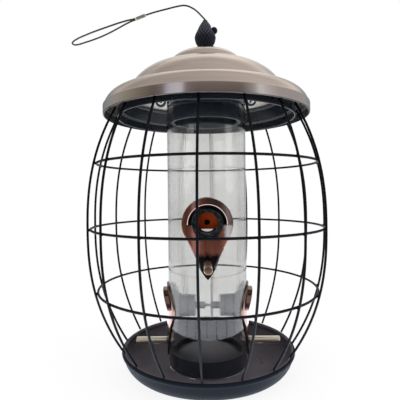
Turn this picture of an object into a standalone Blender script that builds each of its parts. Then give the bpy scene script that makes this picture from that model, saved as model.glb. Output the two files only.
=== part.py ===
"""Caged tube seed feeder: clear tube, barrel cage, stepped dome lid, dished tray and hanging cable.

Metres, +Z up. The origin is at the centre of the tray's flat underside, and -Y is the front.
An angle in plan is counted from the front, positive towards +X.
"""
import math

import bmesh
import bpy
from mathutils import Matrix, Vector

# fits
fit_gap = 0.0003            # left between pieces that touch
screw_clearance = 0.0003    # round a screw's shank
overrun = 0.004             # how far a cutter passes the surface that it cuts

# seed tube
tube_diameter = 0.077
tube_wall = 0.0016
tube_length = 0.2667

# dished tray
tray_diameter = 0.1682
tray_height = 0.0206
tray_sheet = 0.001
tray_bead_diameter = 0.0042
tray_floor_diameter = 0.132
tray_recess_diameter = 0.026
tray_recess_depth = 0.003
tray_recess_slope = 0.0016
drain_hole_diameter = 0.0024
drain_circle_diameter = 0.106
drain_hole_spacing = 0.0056
# the side wall between the bead and the floor: shares of its width and of its height
tray_wall_shares = [(1.0, 0.93), (0.90, 0.66), (0.70, 0.36), (0.42, 0.12), (0.0, 0.0)]

# seat ring and seed diverter in the tube's foot
seat_height = 0.0152
seat_wall = 0.002
seat_foot_height = 0.002
seat_foot_width = 0.0008
diverter_crown = 0.012
diverter_edge_height = 0.009
diverter_shell = 0.0018
seat_boss_diameter = 0.010

# port: plate, hood, sleeve, perch
port_pitch = 0.083
perch_over_tray = 0.0029     # from the tray's rim up to the lower perches' axis
port_plate_radius = 0.0235
port_tip_drop = 0.0497
port_plate_thickness = 0.0014
hood_lip_radius = 0.0184
hood_lip_width = 0.0014
hood_lip_lean = math.radians(16)
hood_leg_drop = 0.0004
hood_reach = 0.0038
spigot_radius = 0.0154
spigot_wall = 0.0014
spigot_inner_reach = 0.0011
sleeve_cup_radius = 0.0112
sleeve_cup_end_radius = 0.0104
sleeve_wall = 0.0012
sleeve_back_wall = 0.0015
sleeve_back_distance = 0.0117
sleeve_flare_distance = 0.027
sleeve_mouth_radius = 0.0215
sleeve_stub_radius = 0.0034
sleeve_stub_end = 0.0026
seed_slot_width = 0.011
seed_slot_length = 0.0105
perch_drop = 0.035
perch_diameter = 0.0071
perch_length = 0.0305
perch_edge = 0.0008
screw_diameter = 0.0026
screw_head_diameter = 0.0060
screw_head_height = 0.0026
screw_thread_depth = 0.008
tie_head_diameter = 0.0052
tie_head_height = 0.0016

# barrel cage
wire_diameter = 0.0022
wire_count = 16
wire_turn = math.radians(-4.0)
waist_radius = 0.1135
waist_height = 0.137
upper_ring_rise = 0.0605
lower_ring_drop = 0.0582
barrel_power_share = 2.4
ring_segments = 32

# top ring of the cage
top_ring_seat_overlap = 0.0027
top_ring_flange_width = 0.0057
top_ring_slope_width = 0.002
top_ring_step_width = 0.0041
top_ring_sheet = 0.0012
top_ring_skirt_height = 0.009
top_ring_skirt_top = 0.2500
wire_head_inset = 0.0012

# lid
lid_diameter = 0.1976
lid_rim_height = 0.2428
lid_band_height = 0.0076
lid_sheet = 0.0008
lid_hem = 0.0012
lid_band_lip = 0.0008
shoulder_radius = 0.0768
shoulder_height = 0.2640
shoulder_crown = 0.0050
shoulder_riser = 0.0028
shoulder_inset = 0.0015
neck_radius = 0.0369
neck_height = 0.2912
neck_crown = 0.0065
neck_riser = 0.0024
neck_inset = 0.0015
cap_crown = 0.0150
lid_hole_diameter = 0.008

# lid grommet
grommet_flange_radius = 0.006
grommet_flange_height = 0.0012

# collar in the tube's mouth, with an ear on each side
collar_flange_height = 0.002
collar_flange_overlap = 0.001
collar_ledge_drop = 0.016
collar_depth = 0.030
collar_wall = 0.002
collar_step = 0.0031
ear_radius = 0.0053
ear_hole_radius = 0.0030
ear_thickness = 0.0026
ear_drop = 0.0083
ear_standoff = 0.0006
ear_neck_width = 0.0050

# bail wire and the cable
bail_wire_diameter = 0.0022
bail_rise = 0.0305
bail_tail = 0.0024
cable_diameter = 0.0016
cable_bore_diameter = 0.0026
eye_wire_diameter = 0.0016
crimp_diameter = 0.0044
crimp_length = 0.0062

# cord lock
lock_height = 0.0283
lock_radius = 0.0105
lock_button_rise = 0.0182
button_ball_radius = 0.0035
button_distance = 0.0086
button_travel = 0.0020
button_stem_radius = 0.0018
button_fork_tip = 0.0019
button_fork_root = 0.0033
button_fork_gap = 0.0020
spring_wire_diameter = 0.0003
spring_radius = 0.0014
spring_turns = 3
spring_pitch = 0.0004
# the egg's outline: shares of the radius and of the height, from the top down
lock_outline_shares = [
    (0.19, 1.00), (0.31, 0.93), (0.45, 0.86), (0.60, 0.76), (0.74, 0.65), (0.86, 0.56),
    (0.96, 0.47), (1.00, 0.39), (0.96, 0.30), (0.88, 0.21), (0.72, 0.12), (0.52, 0.00),
]

# free cable above the lock: its route
cable_route = [
    (0.0, 0.0, 0.3387), (-0.0002, 0.0, 0.3395), (-0.0006, 0.0, 0.3402), (-0.0011, 0.0, 0.3408),
    (-0.0020, 0.0001, 0.3417), (-0.0037, 0.0002, 0.3435), (-0.0058, 0.0004, 0.3459),
    (-0.0088, 0.0006, 0.3488), (-0.0124, 0.0008, 0.3513), (-0.0166, 0.0009, 0.3533), (-0.0213, 0.0010, 0.3541),
    (-0.0284, 0.0010, 0.3530), (-0.0363, 0.0009, 0.3511), (-0.0442, 0.0007, 0.3491),
    (-0.0512, 0.0003, 0.3471), (-0.0583, 0.0, 0.3447),
]
loop_route = [
    (-0.06835, -0.0011, 0.34093), (-0.0705, -0.0014, 0.3402), (-0.0744, -0.0024, 0.3390),
    (-0.0803, -0.0044, 0.3365), (-0.0866, -0.0062, 0.3337), (-0.0932, -0.0074, 0.3309),
    (-0.0998, -0.0080, 0.3284), (-0.1050, -0.0080, 0.3266), (-0.1101, -0.0078, 0.3249),
    (-0.1155, -0.0070, 0.3232), (-0.1210, -0.0056, 0.3217), (-0.1258, -0.0036, 0.3201),
    (-0.1296, -0.0014, 0.3187), (-0.1311, 0.0008, 0.3179), (-0.1296, 0.0031, 0.3180),
    (-0.1251, 0.0050, 0.3195), (-0.1200, 0.0065, 0.3215), (-0.1147, 0.0076, 0.3236),
    (-0.1055, 0.0082, 0.3272), (-0.0994, 0.0078, 0.3296), (-0.0932, 0.0070, 0.3321),
    (-0.0857, 0.0052, 0.3350), (-0.0782, 0.0030, 0.3378), (-0.0726, 0.0017, 0.3397),
    (-0.0703, 0.0013, 0.34035), (-0.06835, 0.0011, 0.34093),
]
ferrule_radius = 0.0021
ferrule_start = (-0.0586, 0.0, 0.3446)
ferrule_end = (-0.0679, 0.0, 0.3411)
loop_points = 38
cable_points = 30

# places that follow from the sizes
tube_radius = tube_diameter / 2
tube_bore_radius = tube_radius - tube_wall
tray_floor_z = tray_sheet
tube_bottom = tray_floor_z + fit_gap
tube_top = tube_bottom + tube_length
plate_inner_radius = tube_radius + fit_gap
plate_outer_radius = plate_inner_radius + port_plate_thickness
liner_radius = tube_bore_radius - fit_gap
lower_port_height = tray_height + perch_over_tray + perch_drop
upper_port_height = lower_port_height + port_pitch
wire_radius = wire_diameter / 2
lid_radius = lid_diameter / 2
lid_band_top = lid_rim_height + lid_band_height
top_ring_flange_radius = shoulder_radius + top_ring_seat_overlap
top_ring_inner_radius = top_ring_flange_radius - top_ring_flange_width
top_ring_step_radius = top_ring_flange_radius + top_ring_slope_width
top_ring_skirt_radius = top_ring_step_radius + top_ring_step_width
cap_base_radius = neck_radius - neck_inset
cap_base_z = neck_height + neck_riser
lid_top = cap_base_z + cap_crown
collar_top = tube_top + fit_gap + collar_flange_height
ear_x = tube_radius + ear_standoff + ear_radius
ear_z = tube_top - ear_drop
bail_radius = bail_wire_diameter / 2
bail_top = ear_z + bail_rise
cable_radius = cable_diameter / 2
grommet_top = lid_top + fit_gap + grommet_flange_height
grommet_neck_radius = lid_hole_diameter / 2 - fit_gap
lock_bottom = grommet_top + fit_gap
lock_top = lock_bottom + lock_height
button_z = lock_bottom + lock_button_rise
spring_pressed_length = spring_turns * spring_pitch + spring_wire_diameter
lock_bore_end = button_fork_tip + button_travel + spring_pressed_length + fit_gap * 2
tube_steps = 48
turn_steps = 36
small_steps = 16
fine_steps = 12
cutter_sides = 24


# scene and materials
for old in list(bpy.data.objects):
    bpy.data.objects.remove(old, do_unlink=True)


def collection(name):
    made = bpy.data.collections.new(name)
    bpy.context.scene.collection.children.link(made)
    return made


parts = collection("bird_feeder")
cutters = collection("cutters")


def material(name, colour, roughness, metallic=0.0, transmission=0.0):
    made = bpy.data.materials.new(name)
    made.use_nodes = True
    shader = made.node_tree.nodes["Principled BSDF"]
    shader.inputs["Base Color"].default_value = (*colour, 1.0)
    shader.inputs["Roughness"].default_value = roughness
    shader.inputs["Metallic"].default_value = metallic
    shader.inputs["Transmission Weight"].default_value = transmission
    return made


clear_plastic = material("clear_plastic", (0.88, 0.90, 0.90), 0.05, transmission=0.9)
champagne_metal = material("champagne_metal", (0.66, 0.55, 0.49), 0.30, metallic=1.0)
antique_copper = material("antique_copper", (0.55, 0.24, 0.15), 0.32, metallic=1.0)
black_coat = material("black_coat", (0.012, 0.013, 0.016), 0.35)
tray_coat = material("tray_coat", (0.045, 0.040, 0.042), 0.50)
black_plastic = material("black_plastic", (0.015, 0.017, 0.020), 0.40)
grey_plastic = material("grey_plastic", (0.32, 0.33, 0.33), 0.45)
perch_brass = material("perch_brass", (0.62, 0.52, 0.36), 0.30, metallic=1.0)
screw_steel = material("screw_steel", (0.62, 0.62, 0.64), 0.25, metallic=1.0)
cable_steel = material("cable_steel", (0.20, 0.20, 0.17), 0.45, metallic=1.0)
ferrule_metal = material("ferrule_metal", (0.55, 0.54, 0.50), 0.35, metallic=1.0)


# building blocks
def keep(obj, surface):
    """Puts a finished piece in the part's collection with its material."""
    for home in list(obj.users_collection):
        home.objects.unlink(obj)
    parts.objects.link(obj)
    if obj.type in {"MESH", "CURVE"} and surface is not None:
        obj.data.materials.clear()
        obj.data.materials.append(surface)
    return obj


def as_cutter(obj):
    """Puts a helper solid in the cutters' collection and hides it."""
    for home in list(obj.users_collection):
        home.objects.unlink(obj)
    cutters.objects.link(obj)
    obj.hide_render = True
    obj.display_type = "WIRE"
    return obj


def turned(name, profile, steps, closed=True, smooth=True):
    """A profile of (radius, height) points, turned round the local Z axis."""
    mesh = bpy.data.meshes.new(name)
    points = [(radius, 0.0, height) for radius, height in profile]
    edges = [(i, i + 1) for i in range(len(points) - 1)]
    if closed:
        edges.append((len(points) - 1, 0))
    mesh.from_pydata(points, edges, [])
    obj = bpy.data.objects.new(name, mesh)
    bpy.context.scene.collection.objects.link(obj)
    screw = obj.modifiers.new("turn", "SCREW")
    screw.steps = steps
    screw.render_steps = steps
    screw.use_merge_vertices = True
    screw.merge_threshold = fit_gap / 10
    screw.use_smooth_shade = smooth
    return obj


def cylinder(name, radius, start, end, sides=cutter_sides, half_step=False):
    """A cylinder between two points; half_step turns it by half of one of its sides."""
    a = Vector(start)
    b = Vector(end)
    bpy.ops.mesh.primitive_cylinder_add(vertices=sides, radius=radius, depth=(b - a).length)
    obj = bpy.context.object
    obj.name = name
    obj.data.name = name
    if half_step:
        obj.data.transform(Matrix.Rotation(math.pi / sides, 4, "Z"))
    obj.rotation_mode = "QUATERNION"
    obj.rotation_quaternion = (b - a).to_track_quat("Z", "X")
    obj.location = (a + b) / 2
    return obj


def box(name, low, high):
    """A box between two corners."""
    bpy.ops.mesh.primitive_cube_add(size=1)
    obj = bpy.context.object
    obj.name = name
    obj.data.name = name
    size = [h - l for l, h in zip(low, high)]
    middle = [(h + l) / 2 for l, h in zip(low, high)]
    obj.data.transform(Matrix.Translation(middle) @ Matrix.Diagonal((*size, 1)))
    return obj


def prism(name, outline, start, end):
    """An outline of (y, z) points, drawn out along +X from start to end."""
    mesh = bpy.data.meshes.new(name)
    build = bmesh.new()
    face = build.faces.new([build.verts.new((start, y, z)) for y, z in outline])
    drawn = bmesh.ops.extrude_face_region(build, geom=[face])
    moved = [v for v in drawn["geom"] if isinstance(v, bmesh.types.BMVert)]
    bmesh.ops.translate(build, verts=moved, vec=(end - start, 0, 0))
    bmesh.ops.recalc_face_normals(build, faces=build.faces)
    build.to_mesh(mesh)
    build.free()
    obj = bpy.data.objects.new(name, mesh)
    bpy.context.scene.collection.objects.link(obj)
    return obj


def combine(obj, other, operation):
    """Adds one Boolean step to a piece; the other solid becomes a hidden helper."""
    step = obj.modifiers.new(operation.lower(), "BOOLEAN")
    step.operation = operation
    step.solver = "EXACT"
    step.object = as_cutter(other)
    return obj


def wire(name, points, radius, surface, cyclic=False, sides_resolution=2):
    """A round wire along points."""
    curve = bpy.data.curves.new(name, "CURVE")
    curve.dimensions = "3D"
    curve.bevel_depth = radius
    curve.bevel_resolution = sides_resolution
    curve.use_fill_caps = True
    spline = curve.splines.new("POLY")
    spline.points.add(len(points) - 1)
    for point, place in zip(spline.points, points):
        point.co = (*place, 1.0)
    spline.use_cyclic_u = cyclic
    spline.use_smooth = True
    obj = bpy.data.objects.new(name, curve)
    bpy.context.scene.collection.objects.link(obj)
    return keep(obj, surface)


def arc(centre, radius, start_degrees, end_degrees, count):
    """Points on an arc, as (across, up) pairs."""
    angles = [
        math.radians(start_degrees + (end_degrees - start_degrees) * i / (count - 1))
        for i in range(count)
    ]
    return [(centre[0] + radius * math.cos(a), centre[1] + radius * math.sin(a)) for a in angles]


def crowned(start, end, crown, count):
    """Points from start to end that bow out by crown, up and outwards, in the middle."""
    chord = Vector(end) - Vector(start)
    normal = Vector((-chord.y, chord.x)).normalized()
    if normal.y < 0:
        normal = -normal
    points = []
    for i in range(count):
        share = i / (count - 1)
        bow = crown * 4 * share * (1 - share)
        points.append(tuple(Vector(start) + chord * share + normal * bow))
    return points


def smooth_route(points, count):
    """Evenly spaced points on a smooth curve through the given ones."""
    places = [Vector(p) for p in points]
    dense = []
    parts_per_span = 24
    for i in range(len(places) - 1):
        before = places[max(i - 1, 0)]
        a = places[i]
        b = places[i + 1]
        after = places[min(i + 2, len(places) - 1)]
        for k in range(parts_per_span):
            t = k / parts_per_span
            out_a = (b - before) / 2
            out_b = (after - a) / 2
            dense.append(
                a * (2 * t**3 - 3 * t**2 + 1) + out_a * (t**3 - 2 * t**2 + t)
                + b * (3 * t**2 - 2 * t**3) + out_b * (t**3 - t**2)
            )
    dense.append(places[-1])
    reach = [0.0]
    for a, b in zip(dense, dense[1:]):
        reach.append(reach[-1] + (b - a).length)
    picked = []
    j = 0
    for i in range(count):
        goal = reach[-1] * i / (count - 1)
        while j < len(reach) - 2 and reach[j + 1] < goal:
            j += 1
        span = reach[j + 1] - reach[j]
        share = (goal - reach[j]) / span if span else 0.0
        picked.append(tuple(dense[j].lerp(dense[j + 1], share)))
    return picked


def face_port(obj, angle):
    """Turns a piece that was built towards +X so that it looks out at an angle from the front."""
    obj.matrix_world = Matrix.Rotation(angle - math.pi / 2, 4, "Z") @ obj.matrix_world
    return obj


def outward(angle, distance, height):
    """The point at a distance from the tube's axis, at an angle from the front."""
    return (distance * math.sin(angle), -distance * math.cos(angle), height)


# tray
def tray_wall(inner_shift):
    """The side wall's points from the bead down to the floor; the inner side is shifted inwards."""
    foot = tray_floor_diameter / 2
    top = tray_diameter / 2 - tray_bead_diameter * 0.35
    rise = tray_height - tray_bead_diameter
    width = top - foot
    return [
        (foot + width * across - inner_shift, rise * up + inner_shift)
        for across, up in tray_wall_shares
    ]


def make_tray():
    bead = tray_bead_diameter / 2
    bead_centre = (tray_diameter / 2 - bead, tray_height - bead)
    recess = tray_recess_diameter / 2
    hole = screw_diameter / 2 + screw_clearance
    profile = arc(bead_centre, bead, 200, -50, 7)
    profile += tray_wall(0.0)
    profile += [
        (recess, 0.0),
        (recess - tray_recess_slope, tray_recess_depth),
        (hole, tray_recess_depth),
        (hole, tray_recess_depth + tray_sheet),
        (recess - tray_recess_slope + tray_sheet / 2, tray_recess_depth + tray_sheet),
        (recess + tray_sheet / 2, tray_sheet),
    ]
    profile += list(reversed(tray_wall(tray_sheet)))
    tray = turned("seed_tray", profile, turn_steps)
    for side in (-1, 1):
        for row in (-1, 0, 1):
            angle = side * math.radians(92) + row * drain_hole_spacing / (drain_circle_diameter / 2)
            x, y, _ = outward(angle, drain_circle_diameter / 2, 0)
            hole_cutter = cylinder(
                "drain_cutter", drain_hole_diameter / 2, (x, y, -overrun), (x, y, tray_sheet + overrun), 10
            )
            combine(tray, hole_cutter, "DIFFERENCE")
    return keep(tray, tray_coat)


def make_tray_screw():
    shank = screw_diameter / 2
    head = screw_head_diameter / 2
    head_top = tray_recess_depth - fit_gap
    head_bottom = head_top - screw_head_height * 0.85
    tip = tray_recess_depth + tray_sheet + screw_thread_depth
    profile = [
        (0.0, tip), (shank, tip - shank / 2), (shank, head_top), (head, head_top),
        (head, head_bottom + head * 0.25), (head * 0.8, head_bottom), (0.0, head_bottom),
    ]
    return keep(turned("tray_screw", profile, fine_steps, closed=False), screw_steel)


# seat ring with diverter
def make_seat():
    outer = liner_radius - seat_foot_width
    inner = outer - seat_wall
    bottom = tube_bottom
    top = bottom + seat_height
    edge = bottom + diverter_edge_height
    peak = edge + diverter_crown
    boss = seat_boss_diameter / 2
    boss_bottom = tray_recess_depth + tray_sheet + fit_gap
    bore = screw_diameter / 2 + screw_clearance
    bore_top = boss_bottom + screw_thread_depth + screw_clearance
    dome = [
        (inner * share, edge + diverter_crown * (1 - share**2))
        for share in (0.0, 0.32, 0.58, 0.8, 1.0)
    ]
    under = [
        (inner * share, edge - diverter_shell + diverter_crown * (1 - share**2))
        for share in (0.97, 0.72, 0.4)
    ]
    profile = dome + [
        (inner, top - fit_gap), (inner + seat_wall * 0.3, top), (outer - seat_wall * 0.3, top),
        (outer, top - fit_gap), (outer, bottom + seat_foot_height),
        (liner_radius, bottom + seat_foot_height), (liner_radius, bottom), (inner, bottom),
        (inner, under[0][1]),
    ] + under + [
        (boss, peak - diverter_shell * 1.6), (boss, boss_bottom), (bore, boss_bottom),
        (bore, bore_top), (0.0, bore_top),
    ]
    return keep(turned("base_seat", profile, turn_steps, closed=False), black_plastic)


# tube
port_table = [
    ("upper_front", 0.0, upper_port_height),
    ("upper_back", math.pi, upper_port_height),
    ("lower_left", -math.pi / 2, lower_port_height),
    ("lower_right", math.pi / 2, lower_port_height),
]


def make_tube():
    profile = [
        (tube_bore_radius, tube_top), (tube_radius, tube_top),
        (tube_radius, tube_bottom), (tube_bore_radius, tube_bottom),
    ]
    tube = turned("seed_tube", profile, tube_steps)
    port_hole = spigot_radius + fit_gap
    screw_hole = screw_diameter / 2 + screw_clearance
    far = tube_radius + overrun
    for angle, height in ((0.0, upper_port_height), (math.pi / 2, lower_port_height)):
        back = outward(angle, -far, height)
        front = outward(angle, far, height)
        combine(tube, cylinder("port_hole_cutter", port_hole, back, front), "DIFFERENCE")
        low = height - perch_drop
        back = outward(angle, -far, low)
        front = outward(angle, far, low)
        combine(tube, cylinder("screw_hole_cutter", screw_hole, back, front, 12), "DIFFERENCE")
    return keep(tube, clear_plastic)


# ports
def teardrop():
    """The plate's outline about the port's centre: a round head and straight sides to a tip."""
    lean = math.degrees(math.asin(port_plate_radius / port_tip_drop))
    head = arc((0, 0), port_plate_radius, -lean, 180 + lean, 18)
    return head + [(0.0, -port_tip_drop)]


def make_visor(angle, height, start, far):
    """The hood's arched visor: the upper half of a collar, whose lip leans back towards its legs."""
    wide = hood_lip_radius * 2
    inside = outward(angle, start, height)
    outside = outward(angle, far + overrun, height)
    visor = cylinder("hood_visor", hood_lip_radius, inside, outside, turn_steps)
    half = box(
        "visor_half",
        (start - overrun, -wide, height - hood_leg_drop),
        (far + overrun * 2, wide, height + wide),
    )
    combine(visor, face_port(half, angle), "INTERSECT")
    inside = outward(angle, start - overrun, height)
    outside = outward(angle, far + overrun * 2, height)
    throat = cylinder("visor_throat", hood_lip_radius - hood_lip_width, inside, outside, turn_steps)
    combine(visor, throat, "DIFFERENCE")
    lip = box("visor_lip", (0, -wide, -wide), (wide, wide, wide))
    lean = Matrix.Rotation(hood_lip_lean, 4, "Y")
    lip.matrix_world = Matrix.Translation((far, 0, height + hood_lip_radius)) @ lean
    return combine(visor, face_port(lip, angle), "DIFFERENCE")


def at_height(points, height):
    return [(across, up + height) for across, up in points]


def make_hood(place, angle, height):
    low = height - port_tip_drop - overrun
    high = height + port_plate_radius + overrun
    hood = turned(
        "port_hood_" + place,
        [
            (plate_inner_radius, high), (plate_outer_radius, high),
            (plate_outer_radius, low), (plate_inner_radius, low),
        ],
        tube_steps,
    )
    hood.rotation_euler.z = math.pi / tube_steps
    far = plate_outer_radius + hood_reach
    start = tube_bore_radius / 2
    outline = prism("plate_outline", at_height(teardrop(), height), start, far)
    combine(hood, face_port(outline, angle), "INTERSECT")
    visor = make_visor(angle, height, start, far)
    middle = (plate_inner_radius + plate_outer_radius) / 2
    below = (0, 0, low - overrun)
    above = (0, 0, high + overrun)
    combine(visor, cylinder("hood_core", middle, below, above, tube_steps, True), "DIFFERENCE")
    combine(hood, visor, "UNION")
    spigot_start = tube_bore_radius - spigot_inner_reach - sleeve_wall
    inside = outward(angle, spigot_start, height)
    outside = outward(angle, plate_outer_radius + fit_gap, height)
    combine(hood, cylinder("spigot", spigot_radius, inside, outside), "UNION")
    opening = spigot_radius - spigot_wall
    inside = outward(angle, start, height)
    outside = outward(angle, far + overrun, height)
    combine(hood, cylinder("port_opening", opening, inside, outside), "DIFFERENCE")
    low_in = outward(angle, start, height - perch_drop)
    low_out = outward(angle, far + overrun, height - perch_drop)
    hole = screw_diameter / 2 + screw_clearance
    combine(hood, cylinder("plate_screw_hole", hole, low_in, low_out, 12), "DIFFERENCE")
    return keep(hood, antique_copper)


def sleeve_profile():
    """The inner cup: a flared mouth at the tube's wall, a cup, and a stub to the tube's axis."""
    beyond = tube_bore_radius + overrun
    cup_inner = sleeve_cup_end_radius - sleeve_wall
    floor = sleeve_back_distance + sleeve_back_wall
    bore = screw_diameter / 2 + screw_clearance
    mouth = (sleeve_mouth_radius, beyond)
    flare = crowned(mouth, (sleeve_cup_radius, sleeve_flare_distance), -sleeve_wall, 4)
    flare_in = [(radius - sleeve_wall, height) for radius, height in reversed(flare)]
    return flare + [
        (sleeve_cup_end_radius, sleeve_back_distance), (sleeve_stub_radius, sleeve_back_distance),
        (sleeve_stub_radius, sleeve_stub_end), (bore, sleeve_stub_end), (bore, floor), (cup_inner, floor),
    ] + flare_in


def make_sleeve(place, angle, height):
    sleeve = turned("port_sleeve_" + place, sleeve_profile(), small_steps)
    lay = Matrix.Rotation(math.pi / 2, 4, "Y")
    sleeve.matrix_world = Matrix.Translation((0, 0, height)) @ lay
    face_port(sleeve, angle)
    low = height - sleeve_mouth_radius - overrun
    high = height + sleeve_mouth_radius + overrun
    liner = cylinder("sleeve_liner", liner_radius, (0, 0, low), (0, 0, high), tube_steps, True)
    combine(sleeve, liner, "INTERSECT")
    slot_start = sleeve_back_distance + sleeve_back_wall * 2
    slot = box(
        "seed_slot",
        (slot_start, -seed_slot_width / 2, height - sleeve_cup_radius - overrun),
        (slot_start + seed_slot_length, seed_slot_width / 2, height - sleeve_cup_radius / 2),
    )
    combine(sleeve, face_port(slot, angle), "DIFFERENCE")
    return keep(sleeve, grey_plastic)


def make_perch(place, angle, height):
    radius = perch_diameter / 2
    bore = screw_diameter / 2 + screw_clearance
    start = plate_outer_radius + fit_gap
    end = start + perch_length
    depth = screw_thread_depth + screw_clearance
    profile = [
        (0.0, end), (radius - perch_edge, end), (radius - perch_edge * 0.3, end - perch_edge * 0.3),
        (radius, end - perch_edge), (radius, start), (bore, start), (bore, start + depth),
        (0.0, start + depth),
    ]
    perch = turned("perch_" + place, profile, fine_steps, closed=False)
    lay = Matrix.Rotation(math.pi / 2, 4, "Y")
    perch.matrix_world = Matrix.Translation((0, 0, height - perch_drop)) @ lay
    return keep(face_port(perch, angle), perch_brass)


def make_perch_screw(place, angle, height):
    shank = screw_diameter / 2
    head = screw_head_diameter / 2
    seat = math.sqrt(tube_bore_radius**2 - head**2) - fit_gap
    inner = seat - screw_head_height
    tip = plate_outer_radius + screw_thread_depth
    profile = [
        (0.0, tip), (shank, tip - shank / 2), (shank, seat), (head, seat),
        (head, inner + head * 0.3), (head * 0.7, inner), (0.0, inner),
    ]
    screw = turned("perch_screw_" + place, profile, fine_steps, closed=False)
    lay = Matrix.Rotation(math.pi / 2, 4, "Y")
    screw.matrix_world = Matrix.Translation((0, 0, height - perch_drop)) @ lay
    return keep(face_port(screw, angle), screw_steel)


def make_tie_screw(level, angle, height):
    """Holds two opposite sleeves together through their stubs."""
    shank = screw_diameter / 2
    head = tie_head_diameter / 2
    seat = sleeve_back_distance + sleeve_back_wall + fit_gap
    outer = seat + tie_head_height
    tip = -(sleeve_back_distance + sleeve_back_wall)
    profile = [
        (0.0, outer), (head * 0.7, outer), (head, outer - head * 0.3), (head, seat), (shank, seat),
        (shank, tip + shank / 2), (0.0, tip),
    ]
    screw = turned("tie_screw_" + level, profile, fine_steps, closed=False)
    screw.matrix_world = Matrix.Translation((0, 0, height)) @ Matrix.Rotation(math.pi / 2, 4, "Y")
    return keep(face_port(screw, angle), screw_steel)


# cage
wire_foot_radius = tray_diameter / 2 - tray_bead_diameter / 2
wire_foot_z = tray_height + fit_gap + wire_radius / 2
wire_head_radius = top_ring_skirt_radius + fit_gap + wire_radius * 1.25
wire_head_z = top_ring_skirt_top - wire_head_inset


def barrel_radius(height):
    """The cage's bulge: the radius of a wire's centre line at a height."""
    if height >= waist_height:
        share = (height - waist_height) / (wire_head_z - waist_height)
        drop = waist_radius - wire_head_radius
    else:
        share = (waist_height - height) / (waist_height - wire_foot_z)
        drop = waist_radius - wire_foot_radius
    return waist_radius - drop * share**barrel_power_share


def wire_path(count):
    heights = [wire_foot_z + (wire_head_z - wire_foot_z) * i / (count - 1) for i in range(count)]
    return [(0.0, -barrel_radius(height), height) for height in heights]


def make_cage():
    for i in range(wire_count):
        strand = wire("cage_wire_%02d" % (i + 1), wire_path(9), wire_radius, black_coat)
        strand.rotation_euler.z = wire_turn + i * math.tau / wire_count
    levels = (
        ("upper", waist_height + upper_ring_rise),
        ("middle", waist_height),
        ("lower", waist_height - lower_ring_drop),
    )
    for name, height in levels:
        radius = barrel_radius(height) - wire_diameter - fit_gap
        bpy.ops.mesh.primitive_torus_add(
            major_segments=ring_segments, minor_segments=6, major_radius=radius, minor_radius=wire_radius
        )
        ring = bpy.context.object
        ring.name = "cage_ring_" + name
        ring.data.shade_smooth()
        ring.rotation_euler.z = wire_turn - math.pi / 2
        ring.location.z = height
        keep(ring, black_coat)


def make_top_ring():
    """The stamped ring that takes the wires' heads and carries the lid."""
    sheet = top_ring_sheet
    top = shoulder_height - lid_sheet - fit_gap
    skirt_top = top_ring_skirt_top
    skirt_bottom = skirt_top - top_ring_skirt_height
    profile = [
        (top_ring_inner_radius, top), (top_ring_flange_radius, top),
        (top_ring_flange_radius + sheet / 2, top - sheet / 2),
        (top_ring_step_radius + sheet / 2, skirt_top),
        (top_ring_skirt_radius - sheet / 2, skirt_top), (top_ring_skirt_radius, skirt_top - sheet / 2),
        (top_ring_skirt_radius, skirt_bottom), (top_ring_skirt_radius - sheet, skirt_bottom),
        (top_ring_skirt_radius - sheet, skirt_top - sheet),
        (top_ring_step_radius - sheet / 2, skirt_top - sheet),
        (top_ring_flange_radius - sheet / 2, top - sheet), (top_ring_inner_radius, top - sheet),
    ]
    return keep(turned("cage_top_ring", profile, turn_steps), black_coat)


# lid
def cap_z(radius):
    """The height of the lid's round cap at a radius."""
    return cap_base_z + cap_crown * math.sqrt(max(0.0, 1 - (radius / cap_base_radius) ** 2))


def lid_outline():
    """The lid's outer surface, from the hole in its top down to the hem."""
    hole = lid_hole_diameter / 2
    cap_degrees = math.degrees(math.acos(hole / cap_base_radius))
    cap = [
        (cap_base_radius * math.cos(math.radians(a)), cap_base_z + cap_crown * math.sin(math.radians(a)))
        for a in (cap_degrees, 66, 46, 26, 6)
    ]
    middle = list(reversed(crowned(
        (shoulder_radius - shoulder_inset, shoulder_height + shoulder_riser), (neck_radius, neck_height),
        neck_crown, 6,
    )))
    outer = list(reversed(crowned(
        (lid_radius - lid_band_lip, lid_band_top + lid_band_lip / 2), (shoulder_radius, shoulder_height),
        shoulder_crown, 6,
    )))
    band = [
        (lid_radius, lid_band_top), (lid_radius, lid_rim_height + lid_sheet),
        (lid_radius - lid_sheet / 2, lid_rim_height), (lid_radius - lid_hem, lid_rim_height),
    ]
    return cap + middle + outer + band


def make_lid():
    lid = turned("lid_shell", lid_outline(), turn_steps, closed=False)
    sheet = lid.modifiers.new("sheet", "SOLIDIFY")
    sheet.thickness = lid_sheet
    sheet.offset = -1.0
    sheet.use_even_offset = True
    return keep(lid, champagne_metal)


def make_grommet():
    """The bush in the lid's hole; the cable runs through it."""
    bore = cable_bore_diameter / 2
    flange = grommet_flange_radius
    neck = grommet_neck_radius
    above = lid_top + fit_gap
    below = cap_z(lid_hole_diameter / 2) - lid_sheet - fit_gap * 2
    lower_flange = neck + grommet_flange_height
    profile = [
        (bore, grommet_top), (flange - grommet_flange_height / 2, grommet_top), (flange, above),
        (neck, above), (neck, below), (lower_flange, below),
        (lower_flange, below - grommet_flange_height), (bore, below - grommet_flange_height),
    ]
    return keep(turned("lid_grommet", profile, small_steps), black_plastic)


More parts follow.
